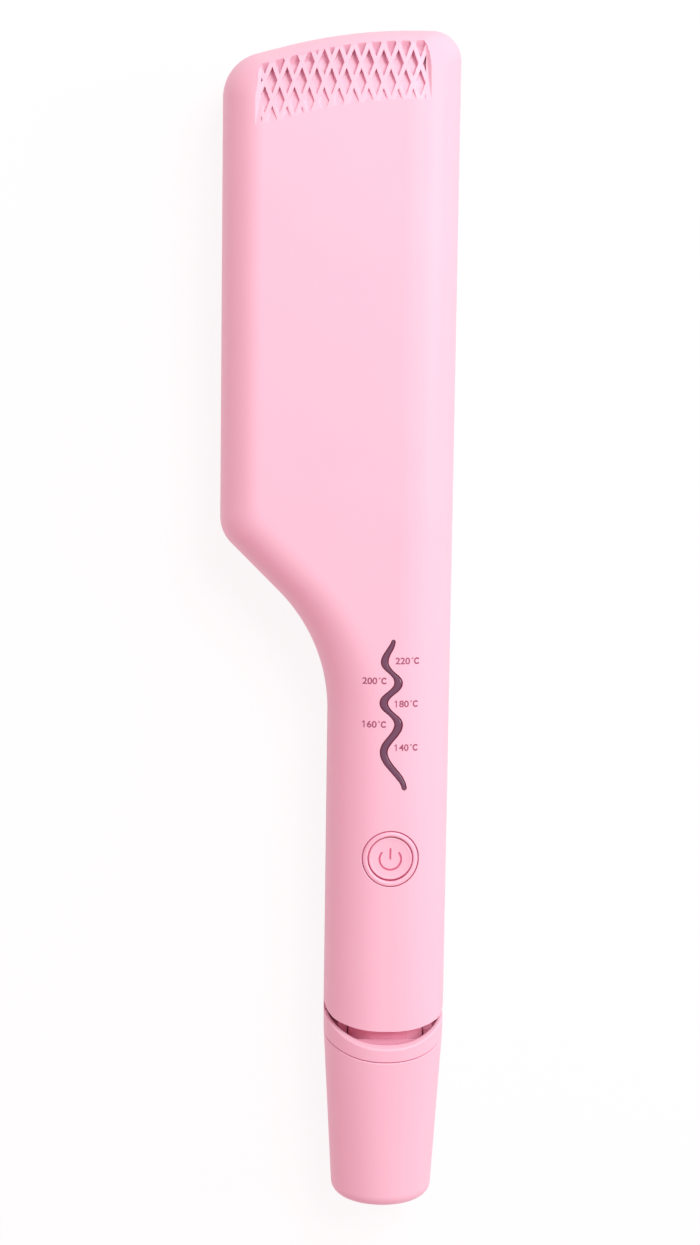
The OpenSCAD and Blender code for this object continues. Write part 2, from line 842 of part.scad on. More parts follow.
// The wave: the plates' mating surface, level across the plates' two edges
function wave(x) = wave_height * sin(360 * x / wave_pitch);
wave_steps = 16;
wave_x = [for (k = [-wave_steps:wave_steps]) wave_pitch * k / wave_steps];
land_z = wave_height + hair_gap / 2 + plate_t + 0.5;
land_w = heater_w + 2 * seat;
groove_z = 2.4;
groove_t = 1.4;
groove_depth = 1.1;

// The plate is an extruded bar with a heater channel on its back and a tongue on each edge
module plate_section() {
    rib_t = 1.5;
    rib_h = 2.4;
    tongue_t = groove_t - seat;
    polygon(concat(
        [for (x = wave_x) [x, wave(x) + hair_gap / 2]],
        [for (x = backwards(wave_x)) [x, wave(x) + hair_gap / 2 + plate_t]]
    ));
    difference() {
        translate([-land_w / 2 - rib_t, 0]) square([land_w + 2 * rib_t, land_z + rib_h]);
        translate([-land_w / 2, land_z]) square([land_w, rib_h + past]);
        polygon(concat(
            [for (x = wave_x) [x, wave(x) + hair_gap / 2 + past]],
            [[wave_pitch, -half_depth], [-wave_pitch, -half_depth]]
        ));
    }
    for (s = [-1, 1])
        translate([s * (wave_pitch - 0.6) + (s < 0 ? -1 : 0) * (groove_depth + 0.4), groove_z + seat / 2])
            square([groove_depth + 0.4, tongue_t]);
}
// Pushes a section drawn across the head along Y
module along_head(from, to) {
    translate([plate_x, to, 0])
        rotate([90, 0, 0])
            linear_extrude(to - from)
                children();
}
module front_wave_plate() {
    color(ceramic) along_head(plate_start, plate_start + plate_l) plate_section();
}
module rear_wave_plate() {
    color(ceramic)
    along_head(plate_start, plate_start + plate_l) rotate(180) plate_section();
}

heater_start = plate_start + 7;
module heater() {
    color([0.85, 0.84, 0.8])
    translate([plate_x - heater_w / 2, heater_start, land_z])
        cube([heater_w, heater_l, heater_t]);
}
module front_heater() { heater(); }
module rear_heater() { mirror([0, 0, 1]) heater(); }

carrier_wall = 1.8;
carrier_in = wave_pitch + 0.3;
carrier_out = carrier_in + carrier_wall;
carrier_foot = 2;
carrier_knee = 8;
// Where the carrier's flat web ends, on the head's outer side and on its long side
web_outer = carrier_out - 4.5;
web_inner = carrier_out - 6.6;
carrier_start = plate_start - moving_gap - carrier_wall;
carrier_end = plate_start + plate_l + moving_gap + carrier_wall;
// The carrier's section: straight walls, then slopes that follow the shoulders to the web
module carrier_section() {
    knee_in = carrier_knee - 0.5;
    difference() {
        carrier_outline(carrier_foot);
        polygon([
            [-carrier_in, carrier_foot - past], [-carrier_in, knee_in],
            [-web_outer + carrier_wall, web_z], [web_inner - carrier_wall, web_z],
            [carrier_in, knee_in], [carrier_in, carrier_foot - past]
        ]);
        for (s = [-1, 1])
            translate([s * (carrier_in + groove_depth / 2), groove_z + groove_t / 2])
                square([groove_depth + 0.2, groove_t], center = true);
    }
}
module carrier_outline(foot) {
    polygon([
        [-carrier_out, foot], [-carrier_out, carrier_knee], [-web_outer, web_z + web_t],
        [web_inner, web_z + web_t], [carrier_out, carrier_knee], [carrier_out, foot]
    ]);
}
module plate_carrier() {
    tab_end = 14;
    vent_count = 5;
    vent_l = 12;
    vent_w = 30;
    wire_hole = 14;
    wire_hole_z = 9;
    color([0.93, 0.91, 0.86])
    difference() {
        union() {
            along_head(carrier_start, carrier_end) carrier_section();
            along_head(carrier_start, carrier_start + carrier_wall) carrier_outline(rim_z);
            along_head(carrier_end - carrier_wall, carrier_end) carrier_outline(rim_z);
            translate([carrier_screw_x[0] - 5, carrier_screw_y - 5, web_z])
                cube([carrier_screw_x[1] - carrier_screw_x[0] + 10, tab_end, web_t]);
        }
        for (i = [0:vent_count - 1])
            translate([plate_x - vent_w / 2, heater_start + 4 + i * heater_l / vent_count, web_z - past])
                cube([vent_w, vent_l, web_t + 2 * past]);
        translate([plate_x - wire_hole / 2, carrier_start - past, wire_hole_z])
            cube([wire_hole, carrier_wall + 2 * past, 3]);
        for (x = carrier_screw_x)
            translate([x, carrier_screw_y, 0]) cylinder(r = screw_r + screw_fit, h = half_depth);
    }
}
module front_plate_carrier() { plate_carrier(); }
module rear_plate_carrier() { mirror([0, 0, 1]) plate_carrier(); }

// The inner cover closes an arm's mouth around the wave plate
module inner_cover() {
    cover_t = 1.5;
    cover_gap = 0.3;
    inset = wall + cover_gap;
    cover_start = hinge_y + 11;
    frame_gap = seat;
    color(pink)
    translate([0, 0, rim_z])
        linear_extrude(cover_t)
            difference() {
                polygon(outline(
                    [for (c = crown_inset) inset], [for (r = corner_r) r - inset], cover_start, arc_steps
                ));
                translate([plate_x - carrier_out - frame_gap, carrier_start - frame_gap])
                    square([2 * (carrier_out + frame_gap), carrier_end - carrier_start + 2 * frame_gap]);
                children();
            }
}
module front_inner_cover() {
    window_w = lip_w + 10;
    inner_cover()
        translate([-window_w / 2, stem_y - 1.5])
            square([window_w, catch_y + 4 - stem_y]);
}
module rear_inner_cover() {
    mirror([0, 0, 1])
        inner_cover()
            translate([-stem_w / 2 - moving_gap, stem_y - moving_gap])
                square([stem_w + 2 * moving_gap, stem_l + lock_travel + 2 * moving_gap]);
}

module carrier_screws() {
    color(steel)
    for (x = carrier_screw_x) translate([x, carrier_screw_y, web_z]) screw(web_t + 1);
}
module front_carrier_screws() { carrier_screws(); }
module rear_carrier_screws() { mirror([0, 0, 1]) carrier_screws(); }

// The bead and the fuse lie on the plates' lands, just short of the heaters
bead_r = 1.5;
module thermistor() {
    color([0.55, 0.3, 0.2])
    translate([plate_x, plate_start + 1, land_z + bead_r + 0.1])
        rotate([-90, 0, 0]) cylinder(r = bead_r, h = 5);
}
module thermal_fuse() {
    color(steel)
    translate([plate_x, plate_start + 1, -land_z - bead_r - 0.1])
        rotate([-90, 0, 0]) cylinder(r = bead_r, h = 5);
}

module control_board() {
    color(board_green)
    difference() {
        translate([-board_w / 2, board_start, board_z]) cube([board_w, board_end - board_start, board_t]);
        for (y = board_screw_y)
            translate([0, y, 0]) cylinder(r = screw_r + screw_fit, h = half_depth);
    }
}
module board_screws() {
    color(steel)
    for (y = board_screw_y) translate([0, y, board_z]) screw(board_t + 5);
}

// One light under each turn of the wavy strip but its two ends
module indicator_leds() {
    led = 1.8;
    color([0.95, 0.95, 0.9])
    for (i = [1:len(strip_turns) - 2])
        translate([strip_turns[i][1] - led / 2, strip_turns[i][0] - led / 2, board_z + board_t])
            cube([led, led, 1]);
}
module indicator_lens() {
    foot = board_z + board_t + 1.3;
    color([0.36, 0.16, 0.26])
    translate([0, 0, foot]) linear_extrude(half_depth - 0.4 - foot) strip_shape(0);
}

switch_top = 13.1;
plunger_top = button_face_z() - 1.6 - 0.4 - button_travel - moving_gap;
function button_face_z() = half_depth - button_sink;
module tact_switch() {
    body = 6;
    color([0.2, 0.2, 0.22])
    translate([-body / 2, button_y - body / 2, board_z + board_t])
        cube([body, body, switch_top - board_z - board_t]);
    color([0.2, 0.2, 0.22])
    translate([0, button_y, switch_top]) cylinder(r = 1.7, h = plunger_top - switch_top);
}

bezel_foot = 12;
flange_t = 1.1;
module button_bezel() {
    flange_r = 9;
    flange_h = 1.2;
    color(pink)
    difference() {
        intersection() {
            translate([0, button_y, bezel_foot]) cylinder(r = bezel_out, h = half_depth);
            translate([0, 0, -0.05]) arm_form(0, half_depth, hinge_y, rim_z, arc_steps, section_steps);
        }
        translate([0, button_y, 0]) cylinder(r = bezel_in, h = 2 * half_depth);
    }
    color(pink)
    difference() {
        translate([0, button_y, bezel_foot]) cylinder(r = flange_r, h = flange_h);
        translate([0, button_y, 0]) cylinder(r = bezel_in, h = 2 * half_depth);
    }
}

module power_button() {
    face_t = 1.6;
    skirt_t = 1.2;
    flange_over = 1;
    skirt_foot = bezel_foot - moving_gap - flange_t;
    dish_r = 60;
    dish_depth = 0.3;
    color(pink)
    translate([0, button_y, 0]) {
        difference() {
            translate([0, 0, skirt_foot]) cylinder(r = button_r, h = button_face_z() - skirt_foot);
            translate([0, 0, skirt_foot - past])
                cylinder(r = button_r - skirt_t, h = button_face_z() - face_t - skirt_foot + past);
            translate([0, 0, button_face_z() + dish_r - dish_depth]) sphere(dish_r);
        }
        translate([0, 0, button_face_z() - face_t - 0.4]) cylinder(r = 2, h = 0.4 + face_t / 2);
        difference() {
            translate([0, 0, skirt_foot]) cylinder(r = button_r + flange_over, h = flange_t);
            translate([0, 0, skirt_foot - past]) cylinder(r = button_r - skirt_t, h = flange_t + 2 * past);
        }
    }
}

// Leads run from the heaters to the board and to the terminal block
lead_r = 0.8;
lead_apart = 4;
module lead_pair(route) {
    color([0.75, 0.12, 0.12])
    for (s = [-1, 1])
        wire([for (p = route) [p[0] + s * lead_apart, p[1], p[2]]], lead_r, [0, 0, 1], 8);
}
lead_z = land_z + 2 * lead_r;
// Height at which the rear leads run down the handle
run_z = -8.4;
module front_leads() {
    solder_z = board_z + lead_r;
    solder_x = -lead_apart - 0.5;
    lead_pair([
        [plate_x, heater_start - seat, lead_z], [plate_x, carrier_start - 4, lead_z],
        [solder_x - 3, board_end + 6, solder_z + 1], [solder_x, board_end + 2, solder_z],
        [solder_x, board_end + seat, solder_z]
    ]);
}
module rear_leads() {
    hole_z = run_z + 1.2;
    lead_pair([
        [plate_x, heater_start - seat, -lead_z], [plate_x, carrier_start - 6, -lead_z],
        [plate_x / 2, board_end, run_z - 0.6], [0, board_end - 16, run_z], [0, hinge_y + 3, run_z],
        [0, hinge_y - 9, run_z + 0.2], [0, spigot_y + 1, hole_z], [0, spigot_y - 4, hole_z + 2],
        [0, terminal_end + 6, -2 * lead_r], [0, terminal_end + 3, 0], [0, terminal_end + moving_gap, 0]
    ]);
}

module terminal_block() {
    block = [14, 8, 9];
    color([0.9, 0.9, 0.86])
    difference() {
        translate([-block[0] / 2, terminal_end - block[1], shelf_z + shelf_t + moving_gap]) cube(block);
        for (x = [-lead_apart, lead_apart])
            translate([x, terminal_end - block[1] / 2, -past]) cylinder(r = 1.6, h = half_depth);
    }
}

gland_flange_t = 2;
tail_r = 6;
module cord_gland() {
    flange_r = 9.5;
    tail_end = 14;
    flange_y = end_wall + moving_gap;
    color(deep_pink)
    rotate([-90, 0, 0])
        difference() {
            union() {
                translate([0, 0, 0.3]) cylinder(r = swivel_r, h = flange_y);
                translate([0, 0, flange_y]) cylinder(r = flange_r, h = gland_flange_t);
                translate([0, 0, flange_y]) cylinder(r = tail_r, h = tail_end - flange_y);
            }
            translate([0, 0, -past]) cylinder(r = cord_hole_r, h = tail_end + 2 * past);
        }
}
module swivel_retainer() {
    ring_y = end_wall + gland_flange_t + 2 * moving_gap;
    ring_t = 2;
    color([0.85, 0.85, 0.83])
    translate([0, ring_y, 0])
        rotate([-90, 0, 0])
            difference() {
                cylinder(r = base_r - wall + 0.1, h = ring_t);
                translate([0, 0, -past]) cylinder(r = tail_r + moving_gap, h = ring_t + 2 * past);
            }
}

// The finished part rests on its back, centred over the origin
module placed() {
    translate([-centre_x, -tool_length / 2, half_depth]) children();
}

placed() rear_shell();
placed() front_shell();
placed() hinge_collar();
placed() base_cone();
placed() hinge_frame();
placed() hinge_pin();
placed() hinge_bushes();
placed() torsion_spring();
placed() frame_screws();
placed() collar_screws();
placed() base_screws();
placed() front_plate_carrier();
placed() rear_plate_carrier();
placed() front_wave_plate();
placed() rear_wave_plate();
placed() front_heater();
placed() rear_heater();
placed() thermistor();
placed() thermal_fuse();
placed() front_carrier_screws();
placed() rear_carrier_screws();
placed() control_board();
placed() board_screws();
placed() indicator_leds();
placed() indicator_lens();
placed() tact_switch();
placed() button_bezel();
placed() power_button();
placed() front_leads();
placed() rear_leads();
placed() terminal_block();
placed() swivel_retainer();
placed() cord_gland();
placed() lock_slider();
placed() front_inner_cover();
placed() rear_inner_cover();
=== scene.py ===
"""Hair waver: lofted soft-touch shells with a grip lattice, wavy strip, power button and wave plates.

Lengths in the shape functions are millimetres in the tool's own frame: X across the head, Y from the base
end to the tip, Z out of the front face from the parting plane. place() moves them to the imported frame.
"""

import math

import bpy
import numpy as np
from mathutils import Matrix, Vector


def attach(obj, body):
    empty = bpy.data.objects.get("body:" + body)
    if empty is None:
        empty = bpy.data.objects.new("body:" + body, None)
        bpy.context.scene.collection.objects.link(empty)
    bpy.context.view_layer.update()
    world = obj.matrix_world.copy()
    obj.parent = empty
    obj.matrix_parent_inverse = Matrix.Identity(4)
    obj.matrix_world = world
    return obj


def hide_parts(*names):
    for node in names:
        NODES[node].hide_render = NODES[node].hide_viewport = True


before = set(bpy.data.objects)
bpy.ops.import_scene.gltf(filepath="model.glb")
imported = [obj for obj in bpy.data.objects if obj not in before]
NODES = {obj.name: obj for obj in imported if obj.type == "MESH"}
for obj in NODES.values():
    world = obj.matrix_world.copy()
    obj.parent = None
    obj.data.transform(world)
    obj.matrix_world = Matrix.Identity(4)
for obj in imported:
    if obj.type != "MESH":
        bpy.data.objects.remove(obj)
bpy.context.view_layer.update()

# The tool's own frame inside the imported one, in millimetres
ORIGIN = np.array([15.35, -165.0, 18.0])
MM = 0.001

# Outline and section of the arms
HANDLE_HALF = 17.1
HEAD_REACH = 47.8
HEAD_START = 192.6
LENGTH = 330.0
HALF_DEPTH = 18.0
RIM_Z = 0.5
WALL, ARM_EDGE = 2.0, 0.35
POWER = 2.3
CROWN_STRIP = 0.6
TIP_SLOPE = math.radians(15)
TIP_PEAK_X = -13.0
TIP_BLEND_R = 140.0
TIP_SHOULDER = 10.0
HANDLE_SHOULDER = HANDLE_HALF - CROWN_STRIP

# Hinge, arched rim and seam
HINGE_Y = 57.0
OPEN_ANGLE = 10.0
RIM_TOP, RIM_R, END_R = 54.4, 27.0, 34.0
SEAM_TOP, SEAM_R = 48.0, 38.0
# The rim's wall at the sides and at the front, and how far its fillers lie below its face
RIM_WALL = np.array([1.3, 1.95])
POCKET_DEPTH, LIP_DEPTH = 1.3, 0.9
RIM_IN_EDGE, RIM_OUT_EDGE, FOOT_EDGE, CONE_EDGE = 0.55, 0.45, 0.2, 0.25
WEDGE_GAP, WEDGE_CLEAR = 0.3, 0.4
SEAM_GAP = 0.3
END_CORNER_R = 3.0

# Which faces take the painted gap shade: depth and place on the handle, insets, the hollow's share of shade,
# and start on the base
GAP_DEPTH, GAP_TOP, GAP_SIDE = 0.22, 170.0, 10.0
SEAM_INSET, HOLLOW_INSET, HOLLOW_SHADE = 0.5, 1.2, 0.45
BASE_CLEAR = 20.0

# Base
BASE_R, BASE_EDGE_R, TAPER_L = 14.2, 3.5, 50.0
END_WALL = 3.0
SWIVEL_BORE = 6.45
SPIGOT_Y, SPIGOT_T, FLOOR_T = 39.0, 1.4, 2.5
SEAT = 0.2
EAR_IN, EAR_T, EAR_R = 10.8, 2.5, 8.0
REAR_PLATE_TOP, REAR_PLATE_HALF, REAR_PLATE_Z = 79.0, 7.5, (-13.6, -10.6)
LEAD_HOLE = [(-6, SPIGOT_Y - 1, -9.6), (6, SPIGOT_Y + FLOOR_T + 0.4, -4.6)]
PIN_R = 2.05
TONGUE_R, TONGUE_CLEAR = 15.0, 0.3
LIP_HALF, LIP_Z = 11.5, 9.0

# Grip lattice, and the thick wall behind it
TIP_BLOCK_L, TIP_BLOCK_Z = 22, 11.4
GRIP_LEFT, GRIP_RIGHT = -39.4, 7.7
GRIP_REACH, GRIP_MARGIN = 19.3, 3.0
GRIP_ROUND = 4.0
# The recess's wall: its width over its height, the width's limits, and how much wider the left one is
WALL_SHARE, WALL_LIMITS, LEFT_WALL = 0.95, (0.2, 1.6), 1.35
RIB_SINK, CELL_SINK = 2.4, 5.2
CELL_PITCH, ROW_PITCH, RIB_W = 3.96, 5.15, 1.3
CELL_ORIGIN = np.array([-15.1, 315.05])

# Controls
BUTTON_Y = 103.0
BUTTON_R, BEZEL_IN, BEZEL_OUT, BUTTON_HOLE = 6.05, 6.35, 7.8, 7.95
CREST, RIDGE_IN, RIDGE_OUT, RIDGE_DROP = 6.95, 0.55, 0.42, 0.02
FLANGE_R, FLANGE_FOOT, FLANGE_TOP = 9.0, 12.0, 13.2
BEZEL_GAP_Z, BEZEL_GAP_R = 15.6, 7.5
BUTTON_FACE, CAP_EDGE_R, CAP_FOOT = 17.2, 0.4, 10.6
CAP_FLANGE_R, CAP_FLANGE_TOP, SKIRT_R, SKIRT_TOP = BUTTON_R + 1, 11.7, BUTTON_R + 0.23, 16.55
MARK_R, MARK_OPENING, MARK_W, MARK_DEPTH = 3.02, 54, 0.55, 0.62
DISH_R, DISH_DEPTH = 60.0, 0.3
# Strip: heights of its ends, turns and half-way places, widths there, and where ends and turns lie
STRIP_Y = np.array([164.7, 161.7, 158.5, 155.4, 152.6, 149.8, 147.1, 144, 141, 137.1, 133.3, 127.6, 122.6])
STRIP_W = np.array([0.85, 1.35, 1.85, 1.08, 2.08, 1.5, 2.06, 1.3, 2.1, 1.76, 1.85, 1.55, 1.1])
STRIP_X = np.array([-0.15, -2.5, 1.4, -2.6, 1.6, -2.4, 3.5])
STRIP_END_R = 0.5
LENS_FOOT, LENS_DROP, LENS_DOME = 10.9, 0.06, 0.34
LABELS = [
    ("220", 3.75, 158.9),
    ("200", -5.25, 153.3),
    ("180", 3.6, 146.9),
    ("160", -5.2, 141.1),
    ("140", 3.75, 134.6),
]
DIGITS_W, DIGITS_H, SIGN_W = 4.05, 1.92, 1.42
SIGN_X = DIGITS_W + 1.1
BOLD, SIGN_BOLD, PRINT = 0.02, 0.045, 0.03

# Storage lock
POCKET = [(-5.8, 77.7), (5.8, 92.3)]
STEM_SLOT = [(-2.3, 80.7), (2.3, 88.3)]
POCKET_FLOOR, POCKET_R, POCKET_EDGE = 16.1, 1.2, 0.4
LINER_Z, LINER_WALL = 14.5, 1.7

# Wave plates
PLATE_X = -15.5
PLATE_START, PLATE_L = 199.0, 105.0
WAVE_PITCH, WAVE_HEIGHT = 26.6, 5.0
HAIR_GAP, PLATE_T = 1.0, 3.2


# Mesh helpers


def place(points):
    """Tool-frame millimetres to packed-frame metres."""
    return (points + ORIGIN) * MM


def signed_volume(points, faces):
    """Six times the volume, summed over each face's fan from the origin."""
    total = 0.0
    for face in faces:
        a = points[face[0]]
        b = points[face[1:-1]]
        c = points[face[2:]]
        total += float(np.einsum("ij,ij->", np.cross(b, c), np.broadcast_to(a, b.shape)))
    return total


def add_object(name, data):
    """A new object in the scene that holds the data."""
    item = bpy.data.objects.new(name, data)
    bpy.context.scene.collection.objects.link(item)
    return item


def new_piece(name, points, faces):
    """A mesh object from tool-frame points."""
    mesh = bpy.data.meshes.new(name)
    mesh.from_pydata(place(points).tolist(), [], faces)
    mesh.update()
    return add_object(name, mesh)


def new_solid(name, points, faces):
    """A closed solid, its faces turned outwards by the sign of the volume."""
    if signed_volume(points, faces) < 0:
        faces = [face[::-1] for face in faces]
    return new_piece(name, points, faces)


def band(first, second):
    """Quads between two loops of indices."""
    return np.stack([first, np.roll(first, -1), np.roll(second, -1), second], -1).tolist()


def stack_faces(rings, count):
    """Faces of a stack of rings: each joined to the next, the first and last capped."""
    index = np.arange(rings * count).reshape(rings, count)
    faces = [q for a, b in zip(index[:-1], index[1:]) for q in band(a, b)]
    return faces + [index[0, ::-1].tolist(), index[-1].tolist()]


def solid_of_rings(name, rings):
    """A closed solid from a stack of rings (ring, point, xyz)."""
    rings = np.asarray(rings, float)
    return new_solid(name, rings.reshape(-1, 3), stack_faces(*rings.shape[:2]))


def closed_ring(name, rings):
    """A ring-shaped solid: the last of its rings is joined to the first."""
    index = np.arange(rings.shape[0] * rings.shape[1]).reshape(rings.shape[:2])
    faces = [q for a, b in zip(index, np.roll(index, -1, axis=0)) for q in band(a, b)]
    return new_solid(name, rings.reshape(-1, 3), faces)


def many_solids(name, stacks):
    """Many closed solids as one mesh, from an array (solid, ring, point, xyz)."""
    solids, rings, count = stacks.shape[:3]
    one = stack_faces(rings, count)
    faces = [[n * rings * count + v for v in face] for n in range(solids) for face in one]
    return new_solid(name, stacks.reshape(-1, 3), faces)


def at_depth(outline, z):
    """An outline's points in X and Y with one depth, or with one each."""
    return np.column_stack([outline, np.broadcast_to(z, len(outline))])


def prism(name, outline, low, high):
    """An outline in X and Y, pushed from one depth to another."""
    return solid_of_rings(name, [at_depth(outline, z) for z in (low, high)])


def box_solid(name, low, high):
    """A box between two corners."""
    (x0, y0, z0), (x1, y1, z1) = low, high
    return prism(name, [(x0, y0), (x1, y0), (x1, y1), (x0, y1)], z0, z1)


def turned(profile, centre, axis="z", sides=128):
    """Rings of a profile of (radius, height) pairs turned about an axis through centre."""
    angle = np.linspace(0, 2 * np.pi, sides, endpoint=False)
    r, h = np.array(profile, float).T[..., None]
    flat = np.stack([r * np.cos(angle), r * np.sin(angle), h + 0 * angle], -1)
    if axis == "y":
        flat = flat[..., [0, 2, 1]]
    if axis == "x":
        flat = flat[..., [2, 0, 1]]
    return flat + np.array(centre)


def unit(vectors):
    """Vectors scaled to length 1 along their last axis."""
    return vectors / np.linalg.norm(vectors, axis=-1, keepdims=True)


def finished(piece):
    """Applies the piece's modifiers to its mesh."""
    depsgraph = bpy.context.evaluated_depsgraph_get()
    mesh = bpy.data.meshes.new_from_object(piece.evaluated_get(depsgraph))
    old = piece.data
    piece.modifiers.clear()
    piece.data = mesh
    mesh.name = piece.name
    bpy.data.meshes.remove(old)
    return piece


def join(piece, tool, operation="DIFFERENCE"):
    """Cuts a closed solid with another one, adds it, or keeps what both share."""
    change = piece.modifiers.new("join", "BOOLEAN")
    change.operation = operation
    change.solver = "MANIFOLD"
    change.object = tool
    finished(piece)
    mesh = tool.data
    bpy.data.objects.remove(tool)
    bpy.data.meshes.remove(mesh)
    return piece


def bevelled(piece, width, angle=38, segments=3):
    """Rounds every edge sharper than the angle."""
    change = piece.modifiers.new("round", "BEVEL")
    change.width = width * MM
    change.segments = segments
    change.limit_method = "ANGLE"
    change.angle_limit = math.radians(angle)
    return finished(piece)


def smooth(piece, angle=33):
    """Smooth shading that big faces lead, with edges sharper than the angle kept crisp."""
    piece.data.shade_smooth()
    piece.data.set_sharp_from_angle(angle=math.radians(angle))
    even = piece.modifiers.new("even", "WEIGHTED_NORMAL")
    even.keep_sharp = True
    return finished(piece)


def paint_gap_shade(piece, test):
    """Writes the face attribute deep, the share of painted gap shade from 0 to 1, as a test of the face
    centres in the tool's frame.
    """
    mesh = piece.data
    centres = np.empty(len(mesh.polygons) * 3)
    mesh.polygons.foreach_get("center", centres)
    inside = test(*(centres.reshape(-1, 3) / MM - ORIGIN).T)
    mesh.attributes.new("deep", "FLOAT", "FACE").data.foreach_set("value", inside.astype(np.float32))
    return piece


def below_face(x, y, z):
    """Whether points lie well below the face, about the handle's controls."""
    return (shell_height(x, y) - np.abs(z) > GAP_DEPTH) & (y < GAP_TOP) & (np.abs(x) < GAP_SIDE)


def inside_base(x, y, z, inset=SEAM_INSET):
    """Whether points lie further inside the base's skin than an inset, above its end."""
    wide, deep, power = base_section(y)
    share = (np.abs(x) / (wide - inset)) ** power + (np.abs(z) / (deep - inset)) ** power
    return (share < 1) & (y > BASE_CLEAR)


def rim_gap_shade(x, y, z):
    """Painted gap shade: 1 where points lie in the seam below the rim, and less in the hollow behind it."""
    seam = inside_base(x, y, z) & (y < SEAM_FACE(z) + 1)
    return np.where(seam, 1.0, HOLLOW_SHADE * inside_base(x, y, z, HOLLOW_INSET))


def rounded_box(low, high, radius):
    """Outline of a box with round corners, between two corners in X and Y."""
    low, high = np.asarray(low, float), np.asarray(high, float)
    arc = np.linspace(0, np.pi / 2, 7)
    middle, half = (low + high) / 2, (high - low) / 2 - radius
    corners = [
        middle + half * np.array(sign) + radius * normal(arc + quarter * np.pi / 2)
        for quarter, sign in enumerate([(1, 1), (-1, 1), (-1, -1), (1, -1)])
    ]
    return np.concatenate(corners)


# Outline and section of the arms


def normal(angle):
    """Unit vectors at angles from X."""
    return np.stack([np.cos(angle), np.sin(angle)], -1)


SIDE_ANGLE = np.radians([180, 225, 180, 90 + math.degrees(TIP_SLOPE), 90, 0])
NECK_SIDE = normal(SIDE_ANGLE[1]) @ np.array([-HEAD_REACH, HEAD_START])
TIP_SIDE = normal(SIDE_ANGLE[3]) @ np.array([TIP_PEAK_X, LENGTH])
SIDE_DISTANCE = np.array([HANDLE_HALF, NECK_SIDE, HEAD_REACH, TIP_SIDE, LENGTH, HANDLE_HALF])
CORNER_R = np.array([-49.0, 10.0, 12.0, TIP_BLEND_R, 8.0])
CROWN_R = np.array([-63.0, 8.0, 6.0, 60.0, 4.0])
CROWN_INSET = np.array([HANDLE_SHOULDER, 12.5, 11.0, TIP_SHOULDER, TIP_SHOULDER, HANDLE_SHOULDER])
CORNER_STEPS = [32, 16, 20, 28, 18]


def meet(i, inset, radius):
    """Where side i and the next meet, once each is moved inwards by its inset and the radius."""
    a, b = SIDE_ANGLE[i : i + 2]
    da, db = (SIDE_DISTANCE - inset - radius)[i : i + 2]
    x = da * math.sin(b) - db * math.sin(a)
    y = db * math.cos(a) - da * math.cos(b)
    return np.array([x, y]) / math.sin(b - a)


def corner(i, inset, radius, steps):
    """The rounded corner between side i and the next, with both sides moved inwards."""
    a, b = SIDE_ANGLE[i : i + 2]
    turn = a + (b - a) * np.linspace(0, 1, steps + 1)
    return meet(i, inset, radius) + radius * normal(turn)


def head_line(inset, radii):
    """Outline points from the top of the handle's outer side, over the tip, to the long side."""
    return np.concatenate([corner(i, inset, radii[i], CORNER_STEPS[i]) for i in range(5)])


def drum(top, radius, turn_back=0.0, grow=0.0):
    """Height of the round face of a drum that lies across the handle, as a function of depth z."""
    turn = math.radians(-turn_back)
    lever = top - radius - HINGE_Y
    centre_y = HINGE_Y + lever * math.cos(turn)
    centre_z = lever * math.sin(turn)
    return lambda z: centre_y + np.sqrt(np.maximum((radius + grow) ** 2 - (z - centre_z) ** 2, 0))


RIM_FACE = drum(RIM_TOP, RIM_R)
REAR_DRUM = drum(RIM_TOP, RIM_R, grow=SEAM_GAP)
FRONT_DRUM = drum(RIM_TOP, END_R, OPEN_ANGLE + WEDGE_CLEAR, WEDGE_GAP)
SEAM_FACE = drum(SEAM_TOP, SEAM_R)
COLLAR_FOOT = drum(SEAM_TOP, SEAM_R, grow=SEAM_GAP)


def front_end(x, z):
    """The front arm's end: its drum's face, with a rounded corner at each side."""
    over = np.clip(np.abs(x) - (HANDLE_HALF - END_CORNER_R), 0, END_CORNER_R)
    return FRONT_DRUM(z) + END_CORNER_R - np.sqrt(END_CORNER_R**2 - over**2)


def rear_end(x, z):
    """The rear arm's end, a seam away from the collar's rim."""
    return REAR_DRUM(z) + 0 * x


END_POINTS = 40


def arm_solid(name, end, inset=0.0, height=HALF_DEPTH, foot=RIM_Z, rings=44, end_shift=0.0, side=1):
    """The arm's loft as a closed solid.

    Ring k runs round the outline at depth height * sin(a)^(2/n). Its points lie between the rim's outline and
    the crown's by the share 1 - cos(a)^(2/n), and its open end follows the end function.
    """
    rim_line = head_line(np.full(6, inset), CORNER_R - inset)
    crown_line = head_line(CROWN_INSET, CROWN_R)
    start = math.asin((max(foot, 0.05) / height) ** (POWER / 2))
    angle = np.linspace(start, np.pi / 2, rings + 1)
    depth = height * np.sin(angle) ** (2 / POWER)
    share = 1 - np.clip(np.cos(angle), 0, 1) ** (2 / POWER)
    share[0] = 0
    depth[0] = foot
    stack = []
    for z, blend in zip(depth, share):
        line = rim_line + (crown_line - rim_line) * blend
        x = line[-1, 0] * np.cos(np.linspace(0, np.pi, END_POINTS + 1))
        y = end(x, z + 0 * x) + end_shift
        loop = np.concatenate([line, np.stack([x, y], -1)])
        stack.append(at_depth(loop, side * z))
    return solid_of_rings(name, stack)


# Centres of the neck's arcs, in the rim's outline and in the crown's
NECK_RIM = meet(0, 0, CORNER_R[0])
NECK_CROWN = meet(0, CROWN_INSET, CROWN_R[0])


